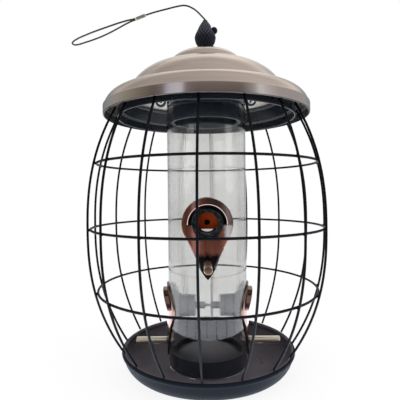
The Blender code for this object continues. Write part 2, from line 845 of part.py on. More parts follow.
# collar, bail and the cable's lower end
def make_collar():
    outer = liner_radius
    inner = outer - collar_step - collar_wall
    lower = outer - collar_step
    flange = tube_radius + collar_flange_overlap
    under = tube_top + fit_gap
    ledge = tube_top - collar_ledge_drop
    bottom = tube_top - collar_depth
    profile = [
        (inner, collar_top), (flange, collar_top), (flange, under), (outer, under), (outer, ledge),
        (lower, ledge - fit_gap), (lower, bottom), (inner, bottom),
    ]
    collar = turned("tube_collar", profile, turn_steps)
    for side in (-1, 1):
        x = side * ear_x
        half = ear_thickness / 2
        ear = cylinder("ear", ear_radius, (x, -half, ear_z), (x, half, ear_z), 16)
        combine(collar, ear, "UNION")
        near = side * (flange - collar_flange_overlap / 2)
        far = side * (near * side + ear_neck_width)
        neck = box(
            "ear_neck",
            (min(near, far), -half * 0.9, ear_z + ear_radius * 0.6),
            (max(near, far), half * 0.9, collar_top - fit_gap),
        )
        combine(collar, neck, "UNION")
        hole = cylinder(
            "ear_hole", ear_hole_radius, (x, -half - overrun, ear_z), (x, half + overrun, ear_z), 12
        )
        combine(collar, hole, "DIFFERENCE")
    return keep(collar, black_plastic)


def make_bail():
    """A wire arch over the tube's mouth; each end is bent through an ear."""
    side = ear_thickness / 2 + bail_radius + fit_gap
    corner = bail_radius * 1.2
    flat_share = 0.92
    arch_base = collar_top + bail_radius * 2
    right = [
        (ear_x, side + bail_tail, ear_z), (ear_x, 0.0, ear_z), (ear_x, -side + corner, ear_z),
        (ear_x, -side + corner * 0.3, ear_z + corner * 0.3), (ear_x, -side, ear_z + corner),
        (ear_x, -side, arch_base),
    ]
    rise = bail_top - arch_base
    sweep = []
    for degrees in (18, 36, 54, 72, 90):
        angle = math.radians(degrees)
        x = ear_x * math.cos(angle) ** flat_share
        sweep.append((x, -side * math.cos(angle), arch_base + rise * math.sin(angle)))
    left = [(-x, -y, z) for x, y, z in reversed(right + sweep[:-1])]
    return wire("bail_wire", right + sweep + left, bail_radius, black_coat)


def make_crimp():
    """The crimped eye that ties the cable to the top of the bail."""
    eye_radius = bail_radius + fit_gap + eye_wire_diameter / 2
    crimp_bottom = bail_top + eye_radius
    crimp_top = crimp_bottom + crimp_length
    crimp = cylinder("cable_crimp", crimp_diameter / 2, (0, 0, crimp_bottom), (0, 0, crimp_top), fine_steps)
    bpy.ops.mesh.primitive_torus_add(
        major_segments=12, minor_segments=6, major_radius=eye_radius, minor_radius=eye_wire_diameter / 2
    )
    eye = bpy.context.object
    eye.rotation_euler.y = math.pi / 2
    eye.location.z = bail_top
    combine(crimp, eye, "UNION")
    keep(crimp, ferrule_metal)
    return crimp_top


def make_cable_core(crimp_top):
    """The cable between the crimp and the top of the lock, through the lid."""
    start = crimp_top + fit_gap
    end = lock_top - cable_radius
    middle = (start + end) / 2
    return wire("cable_core", [(0, 0, start), (0, 0, middle), (0, 0, end)], cable_radius, cable_steel)


# cord lock
def make_lock():
    bore = cable_bore_diameter / 2
    outline = [(lock_radius * r, lock_bottom + lock_height * h) for r, h in lock_outline_shares]
    lock = turned("cord_lock", [(bore, lock_top)] + outline + [(bore, lock_bottom)], small_steps)
    slack = screw_clearance
    stem_bore = button_stem_radius + slack
    ball_bore = button_ball_radius + slack
    deep = button_distance - button_ball_radius - button_travel - slack
    far = lock_radius + overrun
    mouth = (far, 0, button_z)
    combine(lock, cylinder("stem_bore", stem_bore, (-lock_bore_end, 0, button_z), mouth, 16), "DIFFERENCE")
    combine(lock, cylinder("ball_bore", ball_bore, (deep, 0, button_z), mouth, 16), "DIFFERENCE")
    return keep(lock, black_plastic)


def make_button():
    """The release button: a ball end and a forked stem that straddles the cable."""
    bpy.ops.mesh.primitive_uv_sphere_add(segments=12, ring_count=8, radius=button_ball_radius)
    button = bpy.context.object
    button.name = "lock_button"
    button.data.shade_smooth()
    button.location = (button_distance, 0, button_z)
    stem = cylinder(
        "button_stem", button_stem_radius, (-button_fork_tip, 0, button_z), (button_distance, 0, button_z), 12
    )
    combine(button, stem, "UNION")
    half = button_fork_gap / 2
    tall = button_stem_radius + overrun
    low = (-button_fork_tip - overrun, -half, button_z - tall)
    fork = box("fork_gap", low, (button_fork_root, half, button_z + tall))
    combine(button, fork, "DIFFERENCE")
    return keep(button, black_plastic)


def make_lock_spring():
    """The small coil at the end of the button's bore, at its pressed length."""
    points = []
    per_turn = 8
    start = -lock_bore_end + spring_wire_diameter / 2 + fit_gap
    for i in range(spring_turns * per_turn + 1):
        angle = math.tau * i / per_turn
        x = start + spring_pitch * i / per_turn
        points.append((x, spring_radius * math.cos(angle), button_z + spring_radius * math.sin(angle)))
    return wire("lock_spring", points, spring_wire_diameter / 2, screw_steel, sides_resolution=1)


# free cable, ferrule and loop
def make_hanger():
    wire("hanger_cable", smooth_route(cable_route, cable_points), cable_radius, cable_steel)
    wire("hanger_loop", smooth_route(loop_route, loop_points), cable_radius, cable_steel)
    ferrule = cylinder("hanger_ferrule", ferrule_radius, ferrule_start, ferrule_end, fine_steps)
    keep(ferrule, ferrule_metal)


# the feeder
def build():
    make_tray()
    make_tray_screw()
    make_seat()
    make_tube()
    for place, angle, height in port_table:
        make_hood(place, angle, height)
        make_sleeve(place, angle, height)
        make_perch(place, angle, height)
        make_perch_screw(place, angle, height)
    make_tie_screw("upper", 0.0, upper_port_height)
    make_tie_screw("lower", math.pi / 2, lower_port_height)
    make_cage()
    make_top_ring()
    make_collar()
    make_bail()
    make_cable_core(make_crimp())
    make_lid()
    make_grommet()
    make_lock()
    make_button()
    make_lock_spring()
    make_hanger()


build()
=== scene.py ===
import math

import bmesh
import bpy
import numpy as np
from mathutils import Matrix, Vector


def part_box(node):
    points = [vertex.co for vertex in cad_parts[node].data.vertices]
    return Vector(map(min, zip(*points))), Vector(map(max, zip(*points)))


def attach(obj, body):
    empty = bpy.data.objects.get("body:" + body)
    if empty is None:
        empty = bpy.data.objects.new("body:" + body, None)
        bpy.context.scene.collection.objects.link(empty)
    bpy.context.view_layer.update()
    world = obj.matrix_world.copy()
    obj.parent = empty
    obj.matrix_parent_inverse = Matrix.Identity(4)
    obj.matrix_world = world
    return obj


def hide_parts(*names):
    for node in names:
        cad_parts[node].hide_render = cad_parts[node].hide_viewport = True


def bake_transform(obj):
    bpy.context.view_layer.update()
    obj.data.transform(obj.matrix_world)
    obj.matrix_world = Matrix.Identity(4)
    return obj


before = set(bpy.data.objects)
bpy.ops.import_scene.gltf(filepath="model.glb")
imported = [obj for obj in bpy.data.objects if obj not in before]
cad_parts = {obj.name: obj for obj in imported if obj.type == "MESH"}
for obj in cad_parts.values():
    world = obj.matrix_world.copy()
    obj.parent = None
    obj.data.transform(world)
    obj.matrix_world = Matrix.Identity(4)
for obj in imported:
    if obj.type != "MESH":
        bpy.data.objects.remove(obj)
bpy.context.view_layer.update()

# Sizes, in metres, in the part's own frame: +Z up, -Y the front

gap = 0.0003
tiny = 1e-7
clear_of_box = 0.00005
overrun = 0.004
# an edge that bends by more than this many degrees stays crisp
crisp = 32
quarter = math.pi / 2

tube_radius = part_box("seed_tube")[1].x
tube_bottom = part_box("seed_tube")[0].z
tube_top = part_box("seed_tube")[1].z
tube_bore = tube_radius - 0.0016
liner_radius = tube_bore - gap
plate_inner = tube_radius + gap
plate_thickness = 0.0014
plate_outer = plate_inner + plate_thickness

tray_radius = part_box("seed_tray")[1].x
tray_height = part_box("seed_tray")[1].z
tray_sheet = 0.001
tray_bead_radius = 0.0021
tray_floor_radius = 0.066
tray_recess_radius = 0.013
tray_recess_depth = 0.003
tray_recess_slope = 0.0016
tray_wall_shares = [
    (1.0, 0.93), (0.95, 0.80), (0.88, 0.62), (0.79, 0.46), (0.68, 0.32),
    (0.54, 0.195), (0.38, 0.10), (0.20, 0.032), (0.0, 0.0),
]
drain_hole_radius = 0.0012
drain_circle_radius = 0.053
drain_spacing = 0.0056
drain_angle = math.radians(92)

ports = [
    ("upper_front", 0.0, 0.1415),
    ("upper_back", math.pi, 0.1415),
    ("lower_left", -quarter, 0.0585),
    ("lower_right", quarter, 0.0585),
]
port_hole_radius = 0.0157
plate_radius = 0.0235
plate_tip_drop = 0.0497
# the lower half of one of the plate's sides, as it bows to the tip: across and up from the port's centre
plate_side = [
    (0.0207, -0.0111), (0.0108, -0.0298), (0.0075, -0.0391), (0.0034, -0.0457), (0.0, -plate_tip_drop),
]
port_opening_radius = 0.014
spigot_radius = 0.0154
spigot_inner_x = 0.0346
visor_radius = 0.0184
visor_width = 0.0014
visor_lean = math.radians(16)
visor_leg_drop = 0.0004
visor_reach = 0.0038
visor_throat = visor_radius - visor_width
visor_end = math.asin(visor_leg_drop / visor_radius)
cup_radius = 0.0112
cup_end_radius = 0.0104
cup_wall = 0.0012
cup_back_wall = 0.0015
cup_back_x = 0.0117
cup_floor = cup_back_x + cup_back_wall
cup_flare_x = 0.027
cup_mouth_radius = 0.0215
stub_radius = 0.0034
stub_end_x = 0.0026
seed_slot_width = 0.011
seed_slot_length = 0.0105
crescent_half_width = 0.0056
crescent_height = 0.0028
perch_drop = 0.035
perch_radius = 0.00355
perch_length = 0.0305
screw_radius = 0.0013
screw_bore = 0.0016
perch_head_radius = 0.003
perch_head_height = 0.0026
thread_depth = 0.008
tray_head_radius = 0.003
tray_head_height = 0.0022
tie_head_radius = 0.0026
tie_head_height = 0.0016

wire_radius = 0.0011
wire_count = 16
wire_turn = math.radians(-4.0)
waist_radius = 0.1135
waist_height = 0.137
ring_levels = (("upper", 0.1975), ("middle", 0.137), ("lower", 0.0788))
barrel_power_share = 2.4
wire_foot_radius = 0.082
wire_foot_z = tray_height + gap + wire_radius / 2

ring_inner = 0.0738
ring_flange = 0.0795
ring_step = 0.0815
ring_skirt = 0.0856
ring_sheet = 0.0012
ring_skirt_height = 0.009
ring_skirt_top = 0.25
wire_head_radius = ring_skirt + gap + wire_radius * 1.25
wire_head_z = ring_skirt_top - 0.0012

lid_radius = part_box("lid_shell")[1].x
lid_rim_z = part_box("lid_shell")[0].z
lid_band_top = lid_rim_z + 0.0086
lid_sheet = 0.0008
lid_hem = 0.0012
lid_band_lip = 0.0008
shoulder_radius = 0.0768
shoulder_z = 0.264
shoulder_crown = 0.0050
shoulder_riser = 0.0028
shoulder_inset = 0.0015
neck_radius = 0.0369
neck_z = 0.2912
neck_crown = 0.0065
neck_riser = 0.0024
neck_inset = 0.0015
cap_crown = 0.0150
lid_hole_radius = 0.004
cap_base_radius = neck_radius - neck_inset
cap_base_z = neck_z + neck_riser
lid_top = cap_base_z + cap_crown

grommet_flange_radius = 0.0046
grommet_flange_height = 0.0012
grommet_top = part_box("lid_grommet")[1].z

collar_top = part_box("tube_collar")[1].z
collar_ledge_drop = 0.016
collar_depth = 0.030
collar_wall = 0.002
collar_step = 0.0031
ear_radius = 0.0053
ear_hole_radius = 0.003
ear_thickness = 0.0026
ear_x = 0.0444
ear_z = 0.2597
ear_neck_x = 0.039
ear_neck_length = 0.005

seat_wall = 0.002
seat_top = tube_bottom + 0.0152
seat_foot_height = 0.002
seat_foot_width = 0.0008
diverter_edge = tube_bottom + 0.009
diverter_crown = 0.0086
diverter_shell = 0.0018
seat_boss_radius = 0.005

bail_radius = 0.0011
bail_top = ear_z + 0.0305
bail_end = 0.0024
eye_wire_radius = 0.0008
crimp_radius = 0.0022
crimp_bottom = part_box("cable_crimp")[1].z - 0.0062
crimp_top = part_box("cable_crimp")[1].z

lock_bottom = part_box("cord_lock")[0].z
lock_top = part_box("cord_lock")[1].z
lock_radius = 0.0105
cable_bore = 0.0013
button_z = lock_bottom + 0.0182
button_ball_radius = 0.0035
button_x = 0.0086
button_travel = 0.002
button_stem_radius = 0.0018
button_fork_tip = 0.0019
button_fork_root = 0.0033
button_fork_gap = 0.002
lock_outline_shares = [
    (0.19, 1.00), (0.31, 0.93), (0.45, 0.86), (0.60, 0.76), (0.74, 0.65), (0.86, 0.56),
    (0.96, 0.47), (1.00, 0.39), (0.96, 0.30), (0.88, 0.21), (0.72, 0.12), (0.52, 0.00),
]

cable_radius = 0.0008
ferrule_radius = 0.0021
ferrule_start = Vector((-0.0586, 0.0, 0.3446))
ferrule_end = Vector((-0.0679, 0.0, 0.3411))
cable_route = [
    (0.0, 0.0, 0.3387), (-0.0002, 0.0, 0.3395), (-0.0006, 0.0, 0.3402), (-0.0011, 0.0, 0.3408),
    (-0.0020, 0.0001, 0.3417), (-0.0037, 0.0002, 0.3435), (-0.0058, 0.0004, 0.3459),
    (-0.0088, 0.0006, 0.3488), (-0.0124, 0.0008, 0.3513), (-0.0166, 0.0009, 0.3533),
    (-0.0213, 0.0010, 0.3541), (-0.0284, 0.0010, 0.3530), (-0.0363, 0.0009, 0.3511),
    (-0.0442, 0.0007, 0.3491), (-0.0512, 0.0003, 0.3471), (-0.0583, 0.0, 0.3447),
]
loop_route = [
    (-0.06835, -0.0011, 0.34093), (-0.0705, -0.0014, 0.3402), (-0.0744, -0.0024, 0.3390),
    (-0.0803, -0.0044, 0.3365), (-0.0866, -0.0062, 0.3337), (-0.0932, -0.0074, 0.3309),
    (-0.0998, -0.0080, 0.3284), (-0.1050, -0.0080, 0.3266), (-0.1101, -0.0078, 0.3249),
    (-0.1155, -0.0070, 0.3232), (-0.1210, -0.0056, 0.3217), (-0.1255, -0.0043, 0.3202),
    (-0.1285, -0.0031, 0.3190), (-0.1303, -0.0014, 0.3183), (-0.13095, 0.0008, 0.3179),
    (-0.1303, 0.0029, 0.31795), (-0.1285, 0.0046, 0.3184), (-0.1250, 0.0057, 0.31955),
    (-0.1200, 0.0065, 0.3215), (-0.1147, 0.0076, 0.3236), (-0.1055, 0.0082, 0.3272),
    (-0.0994, 0.0078, 0.3296), (-0.0932, 0.0070, 0.3321),
    (-0.0857, 0.0052, 0.3350), (-0.0782, 0.0030, 0.3378), (-0.0726, 0.0017, 0.3397),
    (-0.0703, 0.0013, 0.34035), (-0.06835, 0.0011, 0.34093),
]


# The camera, at the photograph's place and angle

def make_camera():
    place = Vector((-0.00334, -0.3786, 0.1688))
    yaw = math.radians(-0.51)
    pitch = math.radians(-0.94)
    roll = math.radians(-0.57)
    focal_share = 0.95725
    sensor = 36.0
    right = Vector((math.cos(yaw), -math.sin(yaw), 0))
    ahead = Vector((math.sin(yaw) * math.cos(pitch), math.cos(yaw) * math.cos(pitch), math.sin(pitch)))
    up = right.cross(ahead)
    right_rolled = right * math.cos(roll) + up * math.sin(roll)
    up_rolled = up * math.cos(roll) - right * math.sin(roll)
    data = bpy.data.cameras.new("camera")
    data.sensor_fit = "HORIZONTAL"
    data.sensor_width = sensor
    data.lens = sensor * focal_share
    data.clip_start = 0.01
    camera = add_object("camera", data)
    turn = Matrix((right_rolled, up_rolled, -ahead)).transposed().to_4x4()
    camera.matrix_world = Matrix.Translation(place) @ turn
    bpy.context.scene.camera = camera


# Material helpers

class Nodes:
    """The node tree of a material or the world, with short calls for the nodes used here."""

    # where a Mix node keeps its two colours and its mixed colour
    first_colour = 6
    second_colour = 7
    mixed_colour = 2

    def __init__(self, owner, shader="Principled BSDF"):
        owner.use_nodes = True
        self.owner = owner
        self.tree = owner.node_tree
        self.shader = self.tree.nodes[shader]

    def connect(self, value, socket):
        """Links a socket to another one, or gives it a number or colour of its own."""
        if isinstance(value, bpy.types.NodeSocket):
            self.tree.links.new(value, socket)
        elif socket.type == "RGBA":
            socket.default_value = (*value, 1.0)
        else:
            socket.default_value = value

    def add(self, kind, inputs=None, **settings):
        made = self.tree.nodes.new(kind)
        for key, value in settings.items():
            setattr(made, key, value)
        for key, value in (inputs or {}).items():
            self.connect(value, made.inputs[key])
        return made

    def maths(self, operation, a, b=0.0):
        return self.add("ShaderNodeMath", {0: a, 1: b}, operation=operation).outputs[0]

    def plus(self, a, b):
        return self.maths("ADD", a, b)

    def minus(self, a, b):
        return self.maths("SUBTRACT", a, b)

    def times(self, a, b):
        return self.maths("MULTIPLY", a, b)

    def larger(self, a, b):
        return self.maths("MAXIMUM", a, b)

    def vector(self, operation, a, b=(0, 0, 0)):
        return self.add("ShaderNodeVectorMath", {0: a, 1: b}, operation=operation).outputs[0]

    def place(self):
        """The surface's place in the part's frame."""
        return self.add("ShaderNodeTexCoord").outputs["Object"]

    def rays(self):
        return self.add("ShaderNodeLightPath").outputs

    def stored(self, name):
        """A number that the piece's mesh stores at its points."""
        return self.add("ShaderNodeAttribute", attribute_name=name).outputs["Fac"]

    def ramp(self, value, stops):
        """A colour ramp from (place, colour) stops."""
        made = self.add("ShaderNodeValToRGB", {"Fac": value})
        bar = made.color_ramp.elements
        while len(bar) < len(stops):
            bar.new(1.0)
        for element, (place, colour) in zip(bar, stops):
            element.position = place
            element.color = (*colour, 1.0)
        return made.outputs["Color"]

    def span(self, value, low=0.0, high=1.0, start=0.0, end=1.0, **settings):
        """Value from start..end to low..high."""
        inputs = {"Value": value, "From Min": start, "From Max": end, "To Min": low, "To Max": high}
        return self.add("ShaderNodeMapRange", inputs, **settings).outputs["Result"]

    def noise(self, vector, scale, detail, roughness=0.55):
        inputs = {"Vector": vector, "Scale": scale, "Detail": detail, "Roughness": roughness}
        return self.add("ShaderNodeTexNoise", inputs).outputs["Fac"]

    def bump(self, height, strength, distance):
        inputs = {"Height": height, "Strength": strength, "Distance": distance}
        return self.add("ShaderNodeBump", inputs).outputs["Normal"]

    def mix(self, share, a, b):
        made = self.add("ShaderNodeMix", {"Factor": share}, data_type="RGBA")
        self.connect(a, made.inputs[self.first_colour])
        self.connect(b, made.inputs[self.second_colour])
        return made.outputs[self.mixed_colour]

    def wrapped(self, around, across, along):
        """Coordinates wrapped round the Z axis: a cylinder's turn, distance and height, each scaled."""
        place = self.place()
        parts = self.add("ShaderNodeSeparateXYZ", {0: place}).outputs
        squares = [self.times(parts[axis], parts[axis]) for axis in ("X", "Y")]
        distance = self.maths("SQRT", self.plus(*squares))
        unit = self.vector("NORMALIZE", self.vector("MULTIPLY", place, (1, 1, 0)))
        rise = self.plus(self.times(distance, across), self.times(parts["Z"], along))
        lifted = self.add("ShaderNodeCombineXYZ", {"Z": rise}).outputs[0]
        return self.vector("ADD", self.vector("MULTIPLY", unit, (around, around, 0)), lifted)

    def blend_with(self, share, other):
        """Sends the shader, mixed with another one by share, to the output."""
        both = self.add("ShaderNodeMixShader", {0: share, 1: self.shader.outputs[0], 2: other.outputs[0]})
        self.connect(both.outputs[0], self.tree.nodes["Material Output"].inputs["Surface"])

    def give(self, values):
        """Fills the shader's sockets and returns the material or world."""
        for name, value in values.items():
            self.connect(value, self.shader.inputs[name])
        return self.owner


def new_nodes(name):
    return Nodes(bpy.data.materials.new(name))


# Materials

def make_lid_metal():
    """Spun champagne-copper sheet: brushed round its axis, duller inside, with painted shade at its hem and
    under its brim.
    """
    nodes = new_nodes("champagne_metal")
    streaks = nodes.noise(nodes.wrapped(1.3, 2600, 2600), 1.0, detail=6)
    broad = nodes.noise(nodes.wrapped(1.0, 60, 60), 1.0, detail=3)
    tone = nodes.plus(nodes.times(streaks, 0.45), nodes.times(broad, 0.55))
    colour = nodes.ramp(tone, [
        (0.25, (0.57, 0.465, 0.395)), (0.50, (0.645, 0.535, 0.46)), (0.78, (0.72, 0.61, 0.535)),
    ])
    inside = nodes.stored("inside")
    colour = nodes.mix(inside, colour, (0.62, 0.57, 0.50))
    return nodes.give({
        # painted shade: the hem, and the inside under the brim, darkened towards near black
        "Base Color": nodes.mix(nodes.stored("hem"), colour, (0.10, 0.09, 0.085)),
        "Roughness": nodes.plus(nodes.span(streaks, 0.13, 0.22), nodes.times(inside, 0.25)),
        "Normal": nodes.bump(streaks, 0.06, 0.0002),
        "Tangent": nodes.add("ShaderNodeTangent", direction_type="RADIAL", axis="Z").outputs[0],
        "Metallic": 1.0,
        "Anisotropic": 0.7,
        "Anisotropic Rotation": 0.25,
    })


def make_copper(name, bright, bronze, dark, edge, roughness):
    """Polished antique copper with bronze tone, lighter edges and dark marks where the piece stores them; on
    the hoods these are partly painted light.
    """
    nodes = new_nodes(name)
    place = nodes.place()
    stains = nodes.noise(place, 260, detail=5)
    fine = nodes.noise(place, 2200, detail=3)
    drift = nodes.times(nodes.minus(stains, 0.5), 0.7)
    colour = bright
    # the bronze, which on the hoods is partly a painted reflection, and the dark mark, which on the hoods
    # holds painted shade
    for layer, tone in (("bronze", bronze), ("patina", dark)):
        share = nodes.plus(nodes.stored(layer), drift)
        colour = nodes.mix(nodes.add("ShaderNodeClamp", {"Value": share}).outputs[0], colour, tone)
    colour = nodes.mix(nodes.span(fine, 0.0, 0.25), colour, dark)
    return nodes.give({
        # lighter edges; on the hoods they are painted highlights
        "Base Color": nodes.mix(nodes.stored("edge"), colour, edge),
        "Roughness": nodes.span(stains, roughness * 0.7, roughness * 1.5),
        "Normal": nodes.bump(fine, 0.08, 0.0002),
        "Metallic": 1.0,
        "Coat Weight": 0.15,
        "Coat Roughness": 0.12,
    })


def make_coat(name, dark, light, roughness, grain, lump, specular, line=None):
    """Powder coat or moulded plastic: a fine orange-peel surface with a little change of tone."""
    nodes = new_nodes(name)
    place = nodes.place()
    peel = nodes.noise(place, grain, detail=2)
    cloud = nodes.noise(place, 45, detail=4)
    colour = nodes.mix(cloud, dark, light)
    # a second colour mixed in where the piece stores its line mask: painted light on the seat's dome and
    # painted highlights on the lock's net
    if line:
        colour = nodes.mix(nodes.stored("line"), colour, line)
    return nodes.give({
        "Base Color": colour,
        "Roughness": nodes.span(cloud, roughness * 0.8, roughness * 1.25),
        "Normal": nodes.bump(peel, lump, 0.0004),
        "Specular IOR Level": specular,
    })


def make_tray_coat():
    """Brown-grey hammered coat with fine speckle on the floor, blue-black on the outer wall."""
    nodes = new_nodes("tray_coat")
    place = nodes.place()
    speckle = nodes.noise(place, 1500, detail=3, roughness=0.7)
    cloud = nodes.noise(place, 32, detail=5)
    floor = nodes.mix(cloud, (0.058, 0.051, 0.060), (0.120, 0.104, 0.124))
    wall = nodes.mix(cloud, (0.0025, 0.0040, 0.0075), (0.0055, 0.0085, 0.015))
    share = nodes.stored("outer")
    flecks = nodes.ramp(speckle, [(0.60, (0, 0, 0)), (0.74, (1, 1, 1))])
    base = nodes.mix(share, floor, wall)
    return nodes.give({
        "Base Color": nodes.mix(nodes.times(flecks, 0.25), base, (0.10, 0.09, 0.09)),
        "Roughness": nodes.plus(nodes.span(cloud, 0.42, 0.58), nodes.times(share, 0.2)),
        "Normal": nodes.bump(speckle, 0.30, 0.0004),
        "Specular IOR Level": 0.22,
        "IOR": 1.35,
    })


def make_clear_plastic():
    """Moulded clear plastic with a slight grey tint and faint draw lines along the tube."""
    nodes = new_nodes("clear_plastic")
    lines = nodes.noise(nodes.wrapped(40, 0, 1.5), 1.0, detail=2)
    passes = nodes.add("ShaderNodeBsdfTransparent", {"Color": (0.88, 0.88, 0.87)})
    nodes.blend_with(nodes.rays()["Is Shadow Ray"], passes)
    return nodes.give({
        "Base Color": (0.775, 0.775, 0.765),
        "Normal": nodes.bump(lines, 0.10, 0.0006),
        "Roughness": 0.02,
        "IOR": 1.49,
        "Transmission Weight": 1.0,
    })


def make_sleeve_plastic():
    """Grey moulded plastic: plated in the funnel, with a painted glow on the crescent of the cup's floor in
    place of light coming through it, and painted shade on the cup's lower wall.
    """
    nodes = new_nodes("grey_plastic")
    place = nodes.place()
    cloud = nodes.noise(place, 60, detail=4)
    peel = nodes.noise(place, 700, detail=2)
    plating = nodes.ramp(nodes.noise(place, 240, detail=3), [
        (0.36, (0.045, 0.065, 0.085)), (0.52, (0.13, 0.155, 0.16)), (0.68, (0.34, 0.37, 0.37)),
    ])
    glow = (0.90, 0.80, 0.77)
    funnel = nodes.stored("funnel")
    pale = nodes.stored("pale")
    dull = nodes.stored("dull")
    colour = nodes.mix(cloud, (0.20, 0.205, 0.215), (0.29, 0.295, 0.305))
    colour = nodes.mix(funnel, colour, plating)
    # painted glow: the crescent is made pale here and emits light below
    colour = nodes.mix(pale, colour, glow)
    return nodes.give({
        # painted shade: the cup's lower wall near black, and also duller and not metallic
        "Base Color": nodes.mix(dull, colour, (0.02, 0.025, 0.03)),
        "Metallic": nodes.times(nodes.minus(funnel, nodes.larger(pale, dull)), 0.8),
        "Roughness": nodes.plus(nodes.span(cloud, 0.10, 0.18), nodes.times(dull, 0.7)),
        "Normal": nodes.bump(peel, 0.05, 0.0004),
        "Emission Color": nodes.mix(pale, (0, 0, 0), glow),
        "Emission Strength": 0.42,
    })


def make_brushed(name, low, high, roughness, stretch, dark=None):
    """Brushed or drawn metal with streaks, blackened where the piece stores a dark mark."""
    nodes = new_nodes(name)
    streaks = nodes.noise(nodes.vector("MULTIPLY", nodes.place(), stretch), 1.0, detail=5)
    colour = nodes.mix(streaks, low, high)
    if dark:
        colour = nodes.mix(nodes.stored("patina"), colour, dark)
    return nodes.give({
        "Base Color": colour,
        "Roughness": nodes.span(streaks, roughness * 0.75, roughness * 1.3),
        "Normal": nodes.bump(streaks, 0.12, 0.0002),
        "Metallic": 1.0,
    })


lid_metal = make_lid_metal()
hood_copper = make_copper(
    "antique_copper", bright=(0.60, 0.215, 0.135), bronze=(0.27, 0.175, 0.14),
    dark=(0.010, 0.008, 0.009), edge=(0.70, 0.58, 0.55), roughness=0.15,
)
cup_copper = make_copper(
    "cup_copper", bright=(0.62, 0.125, 0.022), bronze=(0.42, 0.04, 0.010),
    dark=(0.05, 0.012, 0.006), edge=(0.62, 0.14, 0.03), roughness=0.34,
)
black_coat = make_coat(
    "black_coat", dark=(0.0025, 0.003, 0.0045), light=(0.005, 0.006, 0.009),
    roughness=0.42, grain=1700, lump=0.15, specular=0.1,
)
ring_coat = make_coat(
    "ring_coat", dark=(0.010, 0.013, 0.018), light=(0.024, 0.030, 0.038),
    roughness=0.18, grain=1700, lump=0.08, specular=0.7,
)
collar_plastic = make_coat(
    "collar_plastic", dark=(0.024, 0.034, 0.050), light=(0.052, 0.070, 0.094),
    roughness=0.22, grain=900, lump=0.05, specular=0.7,
)
# its line colour is painted light on the diverter dome
seat_plastic = make_coat(
    "seat_plastic", dark=(0.006, 0.009, 0.014), light=(0.011, 0.015, 0.022),
    roughness=0.46, grain=900, lump=0.08, specular=0.3, line=(0.125, 0.120, 0.135),
)
# its line colour is a painted highlight on the net's raised lines
lock_plastic = make_coat(
    "lock_plastic", dark=(0.002, 0.003, 0.007), light=(0.005, 0.0065, 0.012),
    roughness=0.38, grain=2500, lump=0.10, specular=0.2, line=(0.15, 0.165, 0.20),
)
sleeve_plastic = make_sleeve_plastic()
tray_coat = make_tray_coat()
clear_plastic = make_clear_plastic()
perch_metal = make_brushed(
    "perch_brass", low=(0.58, 0.51, 0.39), high=(0.98, 0.90, 0.75),
    roughness=0.30, stretch=(900, 900, 900), dark=(0.20, 0.115, 0.07),
)
screw_metal = make_brushed(
    "screw_steel", low=(0.50, 0.50, 0.53), high=(0.74, 0.74, 0.76),
    roughness=0.25, stretch=(700, 700, 700), dark=(0.010, 0.008, 0.006),
)
cable_metal = make_brushed(
    "cable_steel", low=(0.058, 0.062, 0.048), high=(0.135, 0.137, 0.110),
    roughness=0.42, stretch=(900, 900, 900),
)
ferrule_metal = make_brushed(
    "ferrule_metal", low=(0.36, 0.36, 0.30), high=(0.66, 0.66, 0.58),
    roughness=0.33, stretch=(500, 1200, 1200),
)


# Shape helpers

def clamp(value):
    return min(1.0, max(0.0, value))


def even(start, end, count):
    """Evenly spaced numbers, both ends among them."""
    return [start + (end - start) * i / (count - 1) for i in range(count)]


def turns(sides):
    """Angles once round, evenly spaced."""
    return [math.tau * i / sides for i in range(sides)]


def circle(radius, height, sides):
    return [(radius * math.cos(a), radius * math.sin(a), height) for a in turns(sides)]


def add_object(name, data):
    obj = bpy.data.objects.new(name, data)
    bpy.context.scene.collection.objects.link(obj)
    return obj


def shade(mesh, sharp_degrees):
    """Smooth shading, with edges sharper than the given angle kept crisp."""
    mesh.shade_smooth()
    mesh.set_sharp_from_angle(angle=math.radians(sharp_degrees))


def grid_object(name, rows, wrap_rows=False, sharp_degrees=crisp):
    """A surface through rings of points; a ring of one point closes an end."""
    verts = []
    index = []
    for row in rows:
        index.append(list(range(len(verts), len(verts) + len(row))))
        verts.extend(tuple(point) for point in row)
    pairs = list(zip(index, index[1:]))
    if wrap_rows:
        pairs.append((index[-1], index[0]))
    width = max(len(row) for row in rows)
    faces = []
    for a, b in pairs:
        for i in range(width):
            j = (i + 1) % width
            ring = [a[i % len(a)], a[j % len(a)], b[j % len(b)], b[i % len(b)]]
            corners = [c for k, c in enumerate(ring) if c not in ring[:k]]
            if len(corners) > 2:
                faces.append(corners)
    mesh = bpy.data.meshes.new(name)
    mesh.from_pydata(verts, [], faces)
    mesh.validate()
    tool = bmesh.new()
    tool.from_mesh(mesh)
    bmesh.ops.recalc_face_normals(tool, faces=tool.faces)
    tool.to_mesh(mesh)
    tool.free()
    shade(mesh, sharp_degrees)
    return add_object(name, mesh)


def lathe(name, profile, steps, closed=True, sharp_degrees=crisp):
    """A (radius, height) profile turned round Z."""
    rows = [circle(r, z, steps) if r > tiny else [(0.0, 0.0, z)] for r, z in profile]
    return grid_object(name, rows, wrap_rows=closed, sharp_degrees=sharp_degrees)


def solid(name, profile, corner, count, steps):
    """A lathed piece whose profile starts and ends on the axis, with softened corners."""
    return lathe(name, soften(profile, corner, count, closed=False), steps, closed=False)


